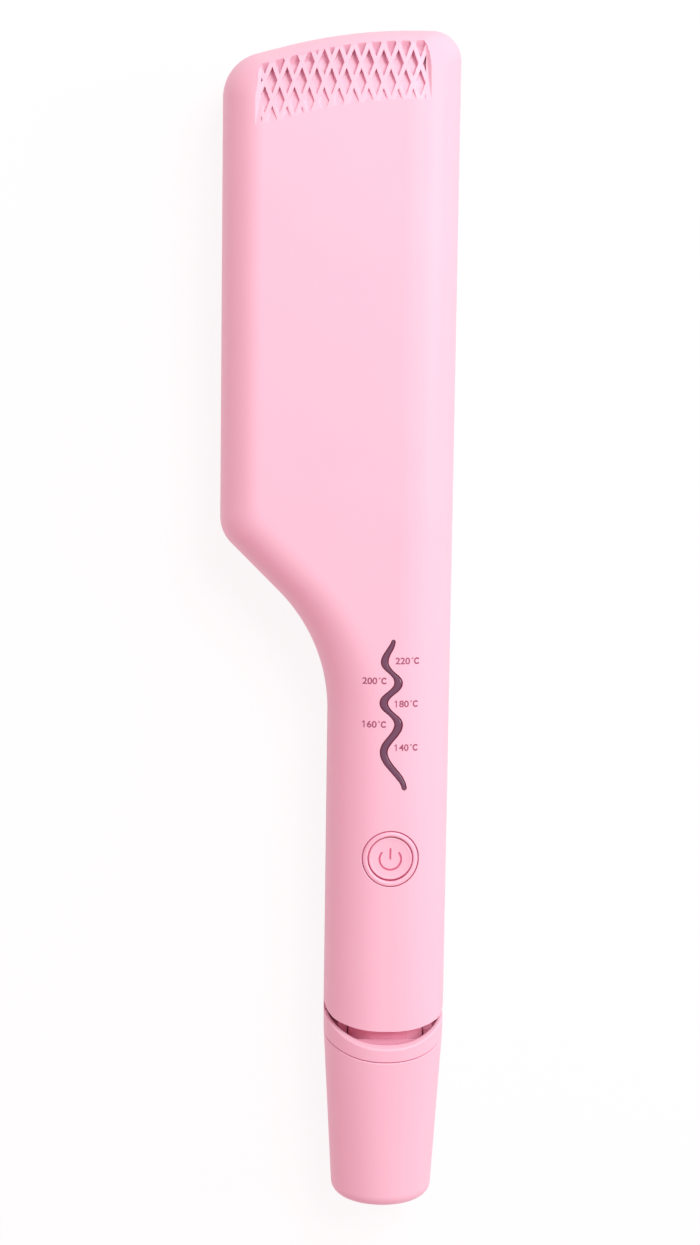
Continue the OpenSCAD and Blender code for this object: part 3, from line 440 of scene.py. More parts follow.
def share_to_crown(x, y):
    """How far a point lies from the rim's outline (0) towards the crown's (1 and more).

    Near a straight side this is the distance over the crown's inset. Along the hollow neck it is the share at
    which the arc between the two outlines, whose centre and radius both move evenly, passes the point.
    """
    x, y = np.ravel(x), np.ravel(y)
    sides = (SIDE_DISTANCE[:, None] - normal(SIDE_ANGLE) @ np.stack([x, y])) / CROWN_INSET[:, None]
    move, grow = NECK_CROWN - NECK_RIM, CORNER_R[0] - CROWN_R[0]
    from_centre = np.stack([x - NECK_RIM[0], y - NECK_RIM[1]], -1)
    a = move @ move - grow**2
    b = from_centre @ move - CORNER_R[0] * grow
    c = (from_centre**2).sum(1) - CORNER_R[0] ** 2
    arc = c / (b + np.sqrt(np.maximum(b * b - a * c, 0)))
    centre = NECK_RIM + arc[:, None] * move
    turn = np.arctan2(y - centre[:, 1], x - centre[:, 0])
    neck = np.where(turn < 0, sides[0], np.where(turn > SIDE_ANGLE[1] - SIDE_ANGLE[0], sides[1], arc))
    return np.minimum(neck, sides[2:].min(0))


def shell_height(x, y):
    """Front shell's depth above a point, from how far the point lies outside the crown."""
    past_crown = np.clip(1 - share_to_crown(x, y), 0, 1)
    return (HALF_DEPTH * (1 - past_crown**POWER) ** (1 / POWER)).reshape(np.shape(x))


# Grip lattice

TIP_CENTRE = meet(3, 0, TIP_BLEND_R)


def tip_distance(x, y):
    """How far a point lies inside the tip's line: two straight stretches and the blend between them."""
    dx, dy = x - TIP_CENTRE[0], y - TIP_CENTRE[1]
    turn = np.clip(np.arctan2(dy, dx), SIDE_ANGLE[4], SIDE_ANGLE[3])
    return TIP_BLEND_R - (dx * np.cos(turn) + dy * np.sin(turn))


def tip_line(x, inset):
    """Height of the line that runs inside the tip by an inset."""
    reach = TIP_BLEND_R - inset
    along = np.clip(x - TIP_CENTRE[0], reach * math.cos(SIDE_ANGLE[3]), 0)
    arc = TIP_CENTRE[1] + np.sqrt(reach**2 - along**2)
    sloped = (SIDE_DISTANCE[3] - inset - x * math.cos(SIDE_ANGLE[3])) / math.sin(SIDE_ANGLE[3])
    return np.where(x - TIP_CENTRE[0] < reach * math.cos(SIDE_ANGLE[3]), sloped, arc)


def section_height(x):
    """Depth of the arm's face across the head, away from the tip's shoulder."""
    right = (HANDLE_SHOULDER - (HANDLE_HALF - x)) / HANDLE_SHOULDER
    left = (CROWN_INSET[2] - (HEAD_REACH + x)) / CROWN_INSET[2]
    share = np.clip(np.maximum(right, left), 0, 1)
    return HALF_DEPTH * (1 - share**POWER) ** (1 / POWER)


def sunk_face(x, y, sink, curve=1.0):
    """The face tipped inwards about the lattice's lower edge, below which it stands above the real face."""
    way = (GRIP_REACH - tip_distance(x, y)) / (GRIP_REACH - GRIP_MARGIN)
    return section_height(x) - sink * np.sign(way) * np.abs(way) ** curve


def rib_face(x, y):
    """The ribs' tops, which are also the recess's floor."""
    return sunk_face(x, y, RIB_SINK)


CELL_END, CELL_END_SLOPE = 3.8, 0.7


def cell_floor(x, y):
    """The cells' floor sinks faster than the ribs, and near the tip a ramp brings it back to the face."""
    low = sunk_face(x, y, CELL_SINK, 0.8)
    end_height = shell_height(np.zeros(1), np.full(1, LENGTH - CELL_END))[0] + section_height(x) - HALF_DEPTH
    ramp = end_height - CELL_END_SLOPE * (tip_distance(x, y) - CELL_END)
    return (low + ramp + np.sqrt((low - ramp) ** 2 + 0.1)) / 2


def recess_cutter(name, side):
    """The recess: the ribs' face, which rises to the shell's in a soft wall at both sides and upper corners.

    With s the distance from the edge over the wall's width, the wall stands at
    1 - (0.35 s + 0.65 s^2 (3 - 2 s)) of the height between the two faces.
    """
    over = 0.35
    fine = np.concatenate([np.arange(0, 2.2, 0.14), np.arange(2.2, 5.0, 0.3)])
    middle = np.linspace(GRIP_LEFT + 5.0, GRIP_RIGHT - 5.0, 64)
    x = np.concatenate([GRIP_LEFT - over + fine, middle, (GRIP_RIGHT + over - fine)[::-1]])[:, None]
    inset = np.linspace(GRIP_REACH + 2.0, GRIP_MARGIN - 0.6, 80)[None, :]
    y = tip_line(x, inset)
    x = x + 0 * y
    floor = rib_face(x, y)
    height = np.maximum(shell_height(x, y) - floor, 0)
    across = np.minimum(x - GRIP_LEFT, GRIP_RIGHT - x)
    up = tip_distance(x, y) - GRIP_MARGIN
    turning = np.hypot(np.maximum(GRIP_ROUND - across, 0), np.maximum(GRIP_ROUND - up, 0))
    edge = np.where((across < GRIP_ROUND) & (up < GRIP_ROUND), GRIP_ROUND - turning, np.minimum(across, up))
    width = np.clip(height * WALL_SHARE, *WALL_LIMITS) * np.where(x < 0, LEFT_WALL, 1.0)
    s = np.clip(edge / width, -4, 1)
    rise = 1 - (0.35 * s + 0.65 * np.maximum(s, 0) ** 2 * (3 - 2 * s))
    z = floor + height * rise
    low = np.stack([x, y, z], -1)
    high = np.stack([x, y, 0 * z + 30.0], -1)
    index = np.arange(x.size).reshape(x.shape)
    quads = np.stack([index[:-1, :-1], index[:-1, 1:], index[1:, 1:], index[1:, :-1]], -1).reshape(-1, 4)
    rim = np.concatenate([index[:-1, 0], index[-1, :-1], index[:0:-1, -1], index[0, :0:-1]])
    faces = quads.tolist() + (quads[:, ::-1] + x.size).tolist() + band(rim, rim + x.size)
    points = np.concatenate([low.reshape(-1, 3), high.reshape(-1, 3)]) * np.array([1, 1, side])
    return new_solid(name, points, faces)


def cells_cutter(name, side):
    """Upright diamonds in level rows, each row half a pitch along, with eased edges above and below."""
    half = np.array([(CELL_PITCH - RIB_W) / 2, ROW_PITCH * (CELL_PITCH - RIB_W) / CELL_PITCH])
    row, col = np.meshgrid(np.arange(-3, 4), np.arange(-8, 9), indexing="ij")
    x = (CELL_ORIGIN[0] + (col + (row % 2) * 0.5) * CELL_PITCH).ravel()
    y = (CELL_ORIGIN[1] + row * ROW_PITCH).ravel()
    inset = tip_distance(x, y)
    inside = (x > GRIP_LEFT - 1) & (x < GRIP_RIGHT + 1) & (inset < GRIP_REACH + 2) & (inset > 0)
    centres = np.stack([x[inside], y[inside]], -1)
    tips = np.array([[1, 0], [0, 1], [-1, 0], [0, -1]], float)
    share = np.arange(4)[:, None] / 4
    points = (tips[:, None] + (np.roll(tips, -1, axis=0) - tips)[:, None] * share).reshape(-1, 2)
    slope = math.hypot(*half)
    stacks = []
    # Rings from the floor's middle outwards, then up the wall, then out over its eased edge
    rings = [(0.1, 0, 0.0), (0.35, 0, 0.0), (0.6, 0, 0.0), (1, -0.24, 0.0), (1, -0.08, 0.05), (1, 0, 0.16)]
    rings += [(1, 0, 0.88), (1, 0.03, 0.96), (1, 0.1, 1.01), (1, 0.16, 1.2)]
    for scale, grow, up in rings:
        # An even offset of the sides moves the corners by the offset over the sine of the half angle
        reach = half * scale + grow * slope / half[::-1]
        ring = centres[:, None] + points * reach
        low = cell_floor(ring[..., 0], ring[..., 1])
        high = rib_face(ring[..., 0], ring[..., 1])
        z = low + np.maximum(high - low, 0.05) * up
        stacks.append(np.concatenate([ring, z[..., None]], -1))
    top = stacks[-1].copy()
    top[..., 2] = 29.0
    stacks.append(top)
    return many_solids(name, np.stack(stacks, 1) * np.array([1, 1, side]))


def cut_lattice(arm, side):
    """Cuts the recess, and the cells that lie inside its walls."""
    join(arm, recess_cutter("recess", side))
    cells = cells_cutter("cells", side)
    field = rounded_box((GRIP_LEFT + 1.6, LENGTH - 30), (GRIP_RIGHT - 1.5, LENGTH + 5), 2.0)
    join(cells, prism("field", field, side * 8.0, side * 28.0), "INTERSECT")
    return join(arm, cells)


# Indicator strip


def strip_path():
    """Points along the strip's middle line, dense at its ends, with the way ahead and half the width.

    Between two turns x eases by a half cosine of the height, and so does the width from one listed place to
    the next. Both ends are round.
    """
    share = np.linspace(0, 1, 80, endpoint=False)
    x0, x1 = STRIP_X[:-1, None], STRIP_X[1:, None]
    y0, y1 = STRIP_Y[:-1:2, None], STRIP_Y[2::2, None]
    x = np.append((x0 + (x1 - x0) * (1 - np.cos(np.pi * share)) / 2).ravel(), STRIP_X[-1])
    y = np.append((y0 + (y1 - y0) * share).ravel(), STRIP_Y[-1])
    run = np.concatenate([[0], np.cumsum(np.hypot(np.diff(x), np.diff(y)))])
    at = run[-1] * (1 - np.cos(np.linspace(0, np.pi, 181))) / 2
    line = np.stack([np.interp(at, run, x), np.interp(at, run, y)], -1)
    ahead = unit(np.stack([np.interp(at, run, np.gradient(v, run)) for v in (x, y)], -1))
    between = np.interp(-line[:, 1], -STRIP_Y, np.arange(len(STRIP_Y)))
    first = np.minimum(between.astype(int), len(STRIP_Y) - 2)
    eased = (1 - np.cos(np.pi * (between - first))) / 2
    half = (STRIP_W[first] + (STRIP_W[first + 1] - STRIP_W[first]) * eased) / 2
    from_end = np.minimum(at, run[-1] - at)
    half *= np.sqrt(1 - (1 - np.clip(from_end / STRIP_END_R, 0.01, 1)) ** 2)
    return line, ahead, half


def strip_solid(name, section, grow=0.0):
    """A section swept along the strip: (share of the half width, extra width, depth or None, lift)."""
    line, ahead, half = strip_path()
    line[0] -= ahead[0] * grow
    line[-1] += ahead[-1] * grow
    side = np.stack([ahead[:, 1], -ahead[:, 0]], -1)
    loops = []
    for share, extra, depth, lift in section:
        out = half * share + (extra + grow) * np.sign(share)
        point = line + side * out[:, None]
        level = shell_height(point[:, 0], point[:, 1]) if depth is None else depth
        loops.append(at_depth(point, level + lift))
    return solid_of_rings(name, np.stack(loops, 1))


# Base: collar and cone

BASE_SIDES = 192


def base_section(y):
    """Half width, half depth and exponent of the base's section at a height."""
    share = np.clip(y / TAPER_L, 0, 1)
    lift = np.clip(y, 0, BASE_EDGE_R)
    edge = BASE_EDGE_R - np.sqrt(np.maximum(BASE_EDGE_R**2 - (BASE_EDGE_R - lift) ** 2, 0))
    wide = BASE_R + (HANDLE_HALF - BASE_R) * share - edge
    deep = BASE_R + (HALF_DEPTH - 0.2 - BASE_R) * share - edge
    return wide, deep, 2 + (POWER - 2) * share


def base_ring(height, inset):
    """A ring round the base: height is a number or a function of depth z, found by repeated substitution.

    The inset is one number, or a pair for across and depth.
    """
    across, inwards = np.broadcast_to(inset, 2)
    angle = 2 * np.pi * (np.arange(BASE_SIDES) + 0.5) / BASE_SIDES
    c, s = np.cos(angle), np.sin(angle)
    y = np.full(BASE_SIDES, 45.0) if callable(height) else np.full(BASE_SIDES, float(height))
    for _ in range(14 if callable(height) else 1):
        wide, deep, power = base_section(y)
        x = np.sign(c) * (wide - across) * np.abs(c) ** (2 / power)
        z = np.sign(s) * (deep - inwards) * np.abs(s) ** (2 / power)
        if callable(height):
            y = height(z)
    return np.stack([x, y, z], -1)


def shifted(face, step):
    """A face moved along Y."""
    return lambda z: face(z) + step


def over_edge(face, inset, inwards, radius, above, steps=5):
    """Ring places round an edge, from the wall that lies at an inset onto the face.

    inwards is +1 where the face lies on the side of greater insets; above is +1 where it is the upper end.
    """
    turn = np.linspace(0, np.pi / 2, steps + 1)
    return [
        (shifted(face, -above * radius * (1 - math.sin(t))), inset + inwards * radius * (1 - math.cos(t)))
        for t in turn
    ]


def base_solid(name, path):
    """A closed solid of rings round the base, from pairs of a height and an inset."""
    return solid_of_rings(name, [base_ring(height, inset) for height, inset in path])


def rim_filler(depth, low, high):
    """What fills the base's hollow up to a depth below the rim's face, within a box."""
    inset = RIM_WALL - 0.4
    filler = base_solid("filler", [(SPIGOT_Y + 1.3, inset), (shifted(RIM_FACE, -depth), inset)])
    return join(filler, box_solid("part", low, high), "INTERSECT")


def cross_bar(name, radius, half, sides):
    """A round bar about the hinge's axis."""
    return solid_of_rings(name, turned([(radius, -half), (radius, half)], (0, HINGE_Y, 0), "x", sides))


def make_collar():
    """Collar: rim and seam on round faces with eased edges, spigot and floor below, ears and plate inside.

    Curved floors close the pockets beside the tongue, and a lip follows the tongue's round sweep.
    """
    hollow, spigot = RIM_WALL, WALL + SEAT + SPIGOT_T
    step = shifted(SEAM_FACE, 1.2)
    path = [(SPIGOT_Y + FLOOR_T, spigot), (step, spigot), (step, hollow)]
    path += over_edge(RIM_FACE, hollow, -1, RIM_IN_EDGE, 1)
    path += over_edge(RIM_FACE, 0.0, 1, RIM_OUT_EDGE, 1)[::-1]
    path += over_edge(COLLAR_FOOT, 0.0, 1, FOOT_EDGE, -1, 3)
    path += [(COLLAR_FOOT, WALL + SEAT), (SPIGOT_Y, WALL + SEAT)]
    collar = base_solid("collar_skin", path)
    arc = np.linspace(0, np.pi, 33)
    round_top = np.stack([HINGE_Y + EAR_R * np.sin(arc), EAR_R * np.cos(arc)], -1)
    ear = np.concatenate([round_top, [[SPIGOT_Y + 1, -EAR_R], [SPIGOT_Y + 1, EAR_R]]])
    inner = base_solid("inside", [(y, WALL + SEAT) for y in (SPIGOT_Y, TAPER_L, REAR_PLATE_TOP)])
    low, high = REAR_PLATE_Z
    plate = (-REAR_PLATE_HALF, SPIGOT_Y + 0.5, low), (REAR_PLATE_HALF, REAR_PLATE_TOP, high)
    fittings = box_solid("plate", *plate)
    for sign in (-1, 1):
        rings = [
            np.column_stack([np.full(len(ear), sign * x), ear[:, 0], ear[:, 1]])
            for x in (EAR_IN, EAR_IN + EAR_T)
        ]
        join(fittings, solid_of_rings("ear", rings), "UNION")
    join(fittings, inner, "INTERSECT")
    for sign in (-1, 1):
        low, high = sorted((sign * (EAR_IN + 0.15), sign * HANDLE_HALF))
        join(fittings, rim_filler(POCKET_DEPTH, (low, 30, -17), (high, 60, 19)), "UNION")
    lip = rim_filler(LIP_DEPTH, (-LIP_HALF, 30, LIP_Z), (LIP_HALF, 60, 19))
    join(lip, cross_bar("sweep", TONGUE_R + TONGUE_CLEAR, 15, 96))
    join(fittings, lip, "UNION")
    join(collar, fittings, "UNION")
    join(collar, cross_bar("bore", PIN_R, 20, 48))
    join(collar, box_solid("lead_hole", *LEAD_HOLE))
    # The seam and the hollow behind the rim take the painted gap shade
    return paint_gap_shade(smooth(collar), rim_gap_shade)


def make_cone():
    """Base cone: round edge at the end, seam on a round face with an eased edge, bore for the swivel."""
    edge = [(BASE_EDGE_R * (1 - math.cos(t)), 0.0) for t in np.linspace(0, np.pi / 2, 12)]
    path = [(END_WALL, WALL + 0.2), (TAPER_L * 0.5, WALL)]
    path += over_edge(SEAM_FACE, WALL, -1, FOOT_EDGE, 1, 3)
    path += over_edge(SEAM_FACE, 0.0, 1, CONE_EDGE, 1, 4)[::-1]
    path += [(30.0, 0.0), (20.0, 0.0), (10.0, 0.0)] + edge[::-1]
    cone = base_solid("cone_skin", path)
    bore = [(SWIVEL_BORE + 0.3, -1), (SWIVEL_BORE + 0.3, 0.0), (SWIVEL_BORE, 0.3), (SWIVEL_BORE, 5.0)]
    join(cone, solid_of_rings("bore", turned(bore, (0, 0, 0), "y")))
    # Faces inside the seam take the painted gap shade
    return paint_gap_shade(smooth(cone), inside_base)


# Arms


def housing(name, end, side):
    """Half an arm's housing: eased edges, a lining that leaves more under the lattice, and the lattice."""
    arm = bevelled(arm_solid(name, end, side=side), ARM_EDGE)
    lining = arm_solid(
        "lining", end, inset=WALL, height=HALF_DEPTH - WALL, foot=-0.6, rings=20, end_shift=-1.5, side=side
    )
    block = (-60, LENGTH - TIP_BLOCK_L, side * TIP_BLOCK_Z), (30, LENGTH + 5, side * 30)
    join(lining, box_solid("tip_block", *block))
    return cut_lattice(join(arm, lining), side)


def make_front_skin():
    """Front half of the housing, with the lattice, the button's hole and the strip's slot."""
    arm = housing("front_skin", front_end, 1)
    hole = [(BUTTON_HOLE, -9.0), (BUTTON_HOLE, -0.22), (BUTTON_HOLE + 0.22, 0.02), (9.0, 4.0)]
    join(arm, solid_of_rings("button_hole", ring_on_face(hole, 128)))
    slot = [(1, 0, 9.0, 0), (1, 0, None, -0.2), (1, 0.12, None, 0.01), (1, 0.2, 22.0, 0)]
    slot += [(-share, extra, depth, lift) for share, extra, depth, lift in slot[::-1]]
    join(arm, strip_solid("strip_slot", slot, 0.12))
    # Walls below the face about the controls take the painted gap shade
    return paint_gap_shade(smooth(arm), below_face)


def make_rear_skin():
    """Rear half of the housing, with the same lattice and the lock's pocket."""
    arm = housing("rear_skin", rear_end, -1)
    low, high = np.array(POCKET)
    liner_low, liner_high = (*(low - LINER_WALL), -HALF_DEPTH + 1.6), (*(high + LINER_WALL), -LINER_Z)
    join(arm, box_solid("liner", liner_low, liner_high), "UNION")
    straight = rounded_box(low, high, POCKET_R)
    eased = rounded_box(low - POCKET_EDGE, high + POCKET_EDGE, POCKET_R + POCKET_EDGE)
    levels = [(straight, -POCKET_FLOOR), (straight, -17.5), (eased, -18.1), (eased, -22)]
    join(arm, solid_of_rings("pocket", [at_depth(line, z) for line, z in levels]))
    join(arm, prism("stem_slot", rounded_box(*STEM_SLOT, 0.6), -8, -20))
    # Walls below the face about the controls take the painted gap shade
    return paint_gap_shade(smooth(arm), below_face)


# Controls


def ring_on_face(profile, sides):
    """Rings about the button's axis from (radius, lift above the shell's face) pairs."""
    angle = np.linspace(0, 2 * np.pi, sides, endpoint=False)
    rings = []
    for radius, lift in profile:
        x, y = radius * np.cos(angle), BUTTON_Y + radius * np.sin(angle)
        rings.append(np.stack([x, y, shell_height(x, y) + lift], -1))
    return np.array(rings)


def make_bezel():
    """Ring round the button: a rounded ridge that follows the handle's face, over a flange."""
    turn = np.linspace(0, np.pi / 2, 9)
    rise, fall = RIDGE_IN * (np.sin(turn) - 1), RIDGE_OUT * (np.cos(turn) - 1)
    inner = np.column_stack([BEZEL_IN + (CREST - BEZEL_IN) * (1 - np.cos(turn)), rise - RIDGE_DROP])
    outer = np.column_stack([CREST + (BEZEL_OUT - CREST) * np.sin(turn), fall - RIDGE_DROP])
    ridge = ring_on_face(np.concatenate([inner, outer[1:]]), 160)
    flange = [(BEZEL_OUT, FLANGE_TOP), (FLANGE_R, FLANGE_TOP)]
    flange += [(FLANGE_R, FLANGE_FOOT), (BEZEL_IN, FLANGE_FOOT)]
    foot = turned(flange, (0, BUTTON_Y, 0), sides=160)

    # The gaps below and beside the ridge take the painted gap shade, a darker redder pink for their shadow
    def in_gap(x, y, z):
        return (z < BEZEL_GAP_Z) | (below_face(x, y, z) & (np.hypot(x, y - BUTTON_Y) > BEZEL_GAP_R))

    return paint_gap_shade(smooth(closed_ring("bezel", np.concatenate([ridge, foot]))), in_gap)


def stroke(path, width):
    """Outline of a line of even width with round ends."""
    ahead = unit(np.gradient(path, axis=0))
    side = np.stack([ahead[:, 1], -ahead[:, 0]], -1) * width / 2
    arc = np.linspace(0, np.pi, 9)[1:-1][:, None]
    last = path[-1] + side[-1] * np.cos(arc) + ahead[-1] * np.sin(arc) * width / 2
    first = path[0] - side[0] * np.cos(arc) - ahead[0] * np.sin(arc) * width / 2
    return np.concatenate([path + side, last, (path - side)[::-1], first])


def power_strokes(width):
    """The power mark: a ring open at the top and an upright bar."""
    arc = np.radians(np.linspace(90 + MARK_OPENING, 450 - MARK_OPENING, 60))
    ring = np.array([0, BUTTON_Y - 0.2]) + MARK_R * normal(arc)
    bar = np.stack([np.zeros(8), np.linspace(BUTTON_Y - 0.1, BUTTON_Y + 2.7, 8)], -1)
    return [stroke(ring, width), stroke(bar, width)]


def make_cap():
    """Button cap: flange and stepped skirt, round edge, a dish of large radius, and the mark's groove."""
    edge = [
        (BUTTON_R - CAP_EDGE_R * (1 - math.cos(t)), BUTTON_FACE - CAP_EDGE_R * (1 - math.sin(t)))
        for t in np.linspace(0, np.pi / 2, 7)
    ]
    radii = np.linspace(BUTTON_R - CAP_EDGE_R - 0.15, 0.25, 12)
    dish = [(r, BUTTON_FACE - 0.02 - DISH_DEPTH + r**2 / (2 * DISH_R)) for r in radii]
    skirt = [(BUTTON_R - 1.2, CAP_FOOT), (CAP_FLANGE_R, CAP_FOOT), (CAP_FLANGE_R, CAP_FLANGE_TOP)]
    skirt += [(SKIRT_R, CAP_FLANGE_TOP), (SKIRT_R, SKIRT_TOP), (BUTTON_R, SKIRT_TOP)]
    cap = solid_of_rings("button_cap", turned(skirt + edge + dish, (0, BUTTON_Y, 0)))
    for outline in power_strokes(MARK_W + 0.01):
        join(cap, prism("groove", outline, BUTTON_FACE - MARK_DEPTH, BUTTON_FACE + 1))

    # The skirt, in the gap round the cap, takes the painted gap shade
    def on_skirt(x, y, z):
        return (z < BUTTON_FACE - 0.3) & (np.hypot(x, y - BUTTON_Y) > BUTTON_R - 0.2)

    return paint_gap_shade(smooth(cap), on_skirt)


def make_mark():
    """The mark's inlay in the bottom of its groove."""
    low, high = BUTTON_FACE - MARK_DEPTH - 0.02, BUTTON_FACE - MARK_DEPTH + 0.16
    ring, bar = power_strokes(MARK_W)
    return smooth(join(prism("power_mark", ring, low, high), prism("bar", bar, low, high), "UNION"))


def make_lens():
    """Smoked lens: a softly domed section swept along the strip. The attribute side is 1 at both edges."""
    across = np.cos(np.linspace(0, np.pi, 17))
    face = [(u, 0, None, -LENS_DROP - LENS_DOME * abs(u) ** 3.5) for u in across]
    lens = strip_solid("lens", [(1, 0, LENS_FOOT, 0)] + face + [(-1, 0, LENS_FOOT, 0)])
    side = np.abs(np.concatenate([[1], across, [1]]))
    values = np.tile(side, len(lens.data.vertices) // len(side))
    lens.data.attributes.new("side", "FLOAT", "POINT").data.foreach_set("value", values)
    return smooth(lens, 60)


def flat_text(body, width, height, left):
    """Points and faces of a text that is stretched to a box standing on the origin's line."""
    curve = bpy.data.curves.new("text", "FONT")
    curve.body = body
    curve.offset = BOLD if len(body) > 1 else SIGN_BOLD
    curve.resolution_u = 6
    text = add_object("text", curve)
    mesh = bpy.data.meshes.new_from_object(text.evaluated_get(bpy.context.evaluated_depsgraph_get()))
    points = np.array([vertex.co[:2] for vertex in mesh.vertices])
    faces = [list(face.vertices) for face in mesh.polygons]
    bpy.data.objects.remove(text)
    bpy.data.curves.remove(curve)
    bpy.data.meshes.remove(mesh)
    low, high = points.min(0), points.max(0)
    return (points - low) / (high - low) * [width, height] + [left, 0], faces


ONE = np.array([[0.74, 0], [0.74, 1.92], [0.5, 1.92], [0.08, 1.56], [0.08, 1.26], [0.46, 1.52], [0.46, 0]])


def figures(digits):
    """The figures' parts. A leading 1 is drawn here, with its flag."""
    if digits[0] != "1":
        return [flat_text(digits, DIGITS_W, DIGITS_H, 0)]
    step = DIGITS_W / 3 + 0.02
    return [(ONE, [list(range(len(ONE)))]), flat_text(digits[1:], DIGITS_W - step, DIGITS_H, step)]


def make_label(digits, x, y, shell):
    """A printed temperature, its degree sign a small ring close to the C, laid on the shell."""
    turn = np.linspace(0, 2 * np.pi, 24, endpoint=False)
    ring = np.concatenate([0.28 * normal(turn), 0.14 * normal(turn)]) + [DIGITS_W + 0.66, DIGITS_H - 0.26]
    count = len(turn)
    parts = [
        *figures(digits),
        (ring, band(np.arange(count), np.arange(count, 2 * count))),
        flat_text("C", SIGN_W, DIGITS_H, SIGN_X),
    ]
    points, faces = [], []
    for places, polygons in parts:
        start = sum(len(p) for p in points)
        points.append(places)
        faces += [[v + start for v in polygon] for polygon in polygons]
    flat = np.concatenate(points) - [(SIGN_X + SIGN_W) / 2, DIGITS_H / 2] + [x, y]
    piece = new_piece("label_" + digits, at_depth(flat, HALF_DEPTH + 1), faces)
    lay = piece.modifiers.new("lay", "SHRINKWRAP")
    lay.target = shell
    lay.wrap_method = "PROJECT"
    lay.use_project_z = True
    lay.use_negative_direction = True
    lay.use_positive_direction = False
    lay.offset = PRINT * MM
    return finished(piece)


# Wave plates


def make_wave_plate(name, side):
    """Wave plate: a band whose hair side and back both follow the sine, with a tongue on each edge."""
    x = WAVE_PITCH * np.linspace(-1, 1, 193)
    wave = WAVE_HEIGHT * np.sin(2 * np.pi * x / WAVE_PITCH)
    low = np.stack([x, wave + HAIR_GAP / 2], -1)
    high = np.stack([x[::-1], wave[::-1] + HAIR_GAP / 2 + PLATE_T], -1)
    tongue = np.array([[WAVE_PITCH, 2.5], [WAVE_PITCH + 0.9, 2.5], [WAVE_PITCH + 0.9, 3.7]])
    flat = np.concatenate([low, tongue, high, tongue[::-1] * [-1, 1]]) * side
    rings = [
        np.column_stack([flat[:, 0] + PLATE_X, np.full(len(flat), y), flat[:, 1]])
        for y in (PLATE_START, PLATE_START + PLATE_L)
    ]
    return smooth(bevelled(solid_of_rings(name, rings), 0.25, 50), 40)


# Materials


class Value:
    """A number socket. Its operators and apply() add Math nodes."""

    def __init__(self, tree, socket):
        self.tree = tree
        self.socket = socket

    def apply(self, operation, other):
        """The result of an operation on this value and a number or another value."""
        node = self.tree.nodes.new("ShaderNodeMath")
        node.operation = operation
        self.tree.links.new(self.socket, node.inputs[0])
        if isinstance(other, Value):
            self.tree.links.new(other.socket, node.inputs[1])
        else:
            node.inputs[1].default_value = other
        return Value(self.tree, node.outputs[0])

    def __add__(self, other):
        return self.apply("ADD", other)

    def __sub__(self, other):
        return self.apply("SUBTRACT", other)

    def __mul__(self, other):
        return self.apply("MULTIPLY", other)

    def __pow__(self, other):
        return self.apply("POWER", other)


class Finish:
    """A material with one Principled shader. Its sockets take constants or what node() makes."""

    def __init__(self, name, **constants):
        self.material = bpy.data.materials.new(name)
        self.material.use_nodes = True
        self.tree = self.material.node_tree
        self.shader = self.tree.nodes["Principled BSDF"]
        for key, value in constants.items():
            self.feed(self.shader.inputs[key.replace("_", " ")], value)

    def feed(self, socket, value):
        """Links a value or a socket, or sets a constant, with a colour's missing fourth number."""
        if isinstance(value, Value):
            self.tree.links.new(value.socket, socket)
        elif isinstance(value, bpy.types.NodeSocket):
            self.tree.links.new(value, socket)
        elif isinstance(value, tuple) and len(value) == 3 and len(socket.default_value) == 4:
            socket.default_value = (*value, 1.0)
        else:
            socket.default_value = value

    def set(self, key, value):
        """Feeds one of the shader's sockets."""
        self.feed(self.shader.inputs[key], value)

    def node(self, kind, settings, sockets, output=0):
        """Adds a node with settings and inputs, and gives one of its outputs."""
        node = self.tree.nodes.new("ShaderNode" + kind)
        for key, value in settings.items():
            setattr(node, key, value)
        for key, value in sockets.items():
            self.feed(node.inputs[key], value)
        return node.outputs[output]

    def noise(self, scale, detail):
        """A noise's share at a point, from 0 to 1."""
        sockets = {"Vector": self.node("TexCoord", {}, {}, 3), "Scale": scale, "Detail": detail}
        return Value(self.tree, self.node("TexNoise", {}, sockets))

    def blend(self, share, first, second):
        """Colour between two, by a share."""
        return self.node("Mix", {"data_type": "RGBA"}, {0: share, 6: first, 7: second}, 2)

    def share(self, attribute):
        """A mesh attribute's number."""
        return Value(self.tree, self.node("Attribute", {"attribute_name": attribute}, {}, 2))

    def surface(self, sheen, spread, rough, grain, distance, strength):
        """Uneven sheen about a roughness, and a bump from a grain. Returns the material."""
        self.set("Roughness", (sheen - 0.5) * spread + rough)
        sockets = {"Height": grain, "Distance": distance, "Strength": strength}
        self.set("Normal", self.node("Bump", {}, sockets))
        return self.material


def srgb(r, g, b):
    """Screen colour, 0 to 255, as the linear colour that a shader takes."""
    c = np.array([r, g, b]) / 255
    return tuple(np.where(c <= 0.04045, c / 12.92, ((c + 0.055) / 1.055) ** 2.4).tolist())


def moulded(name, colour, deeper, rough, grain=0.00003, scale=900):
    """Moulded plastic: faint mottling between two screen colours, uneven sheen and a fine grain."""
    finish = Finish(name)
    finish.set("Base Color", finish.blend(finish.noise(45, 4), srgb(*colour), srgb(*deeper)))
    return finish.surface(finish.noise(220, 2), 0.12, rough, finish.noise(scale, 3), grain, 0.3)


def shell_plastic(name, rough):
    """The shells' soft pink, with a deeper, redder pink painted on the faces marked deep, in gaps and
    hollows, as painted shade for their shadow and bounced light.
    """
    finish = Finish(name)
    outer = finish.blend(finish.noise(45, 4), srgb(241, 202, 217), srgb(239, 197, 213))
    # Painted shade: this deeper, redder pink stands for the shadow and bounced light in gaps and hollows
    inner = finish.blend(finish.noise(60, 3), srgb(232, 124, 164), srgb(226, 112, 154))
    finish.set("Base Color", finish.blend(finish.share("deep"), outer, inner))
    return finish.surface(finish.noise(220, 2), 0.12, rough, finish.noise(3600, 3), 0.00002, 0.35)


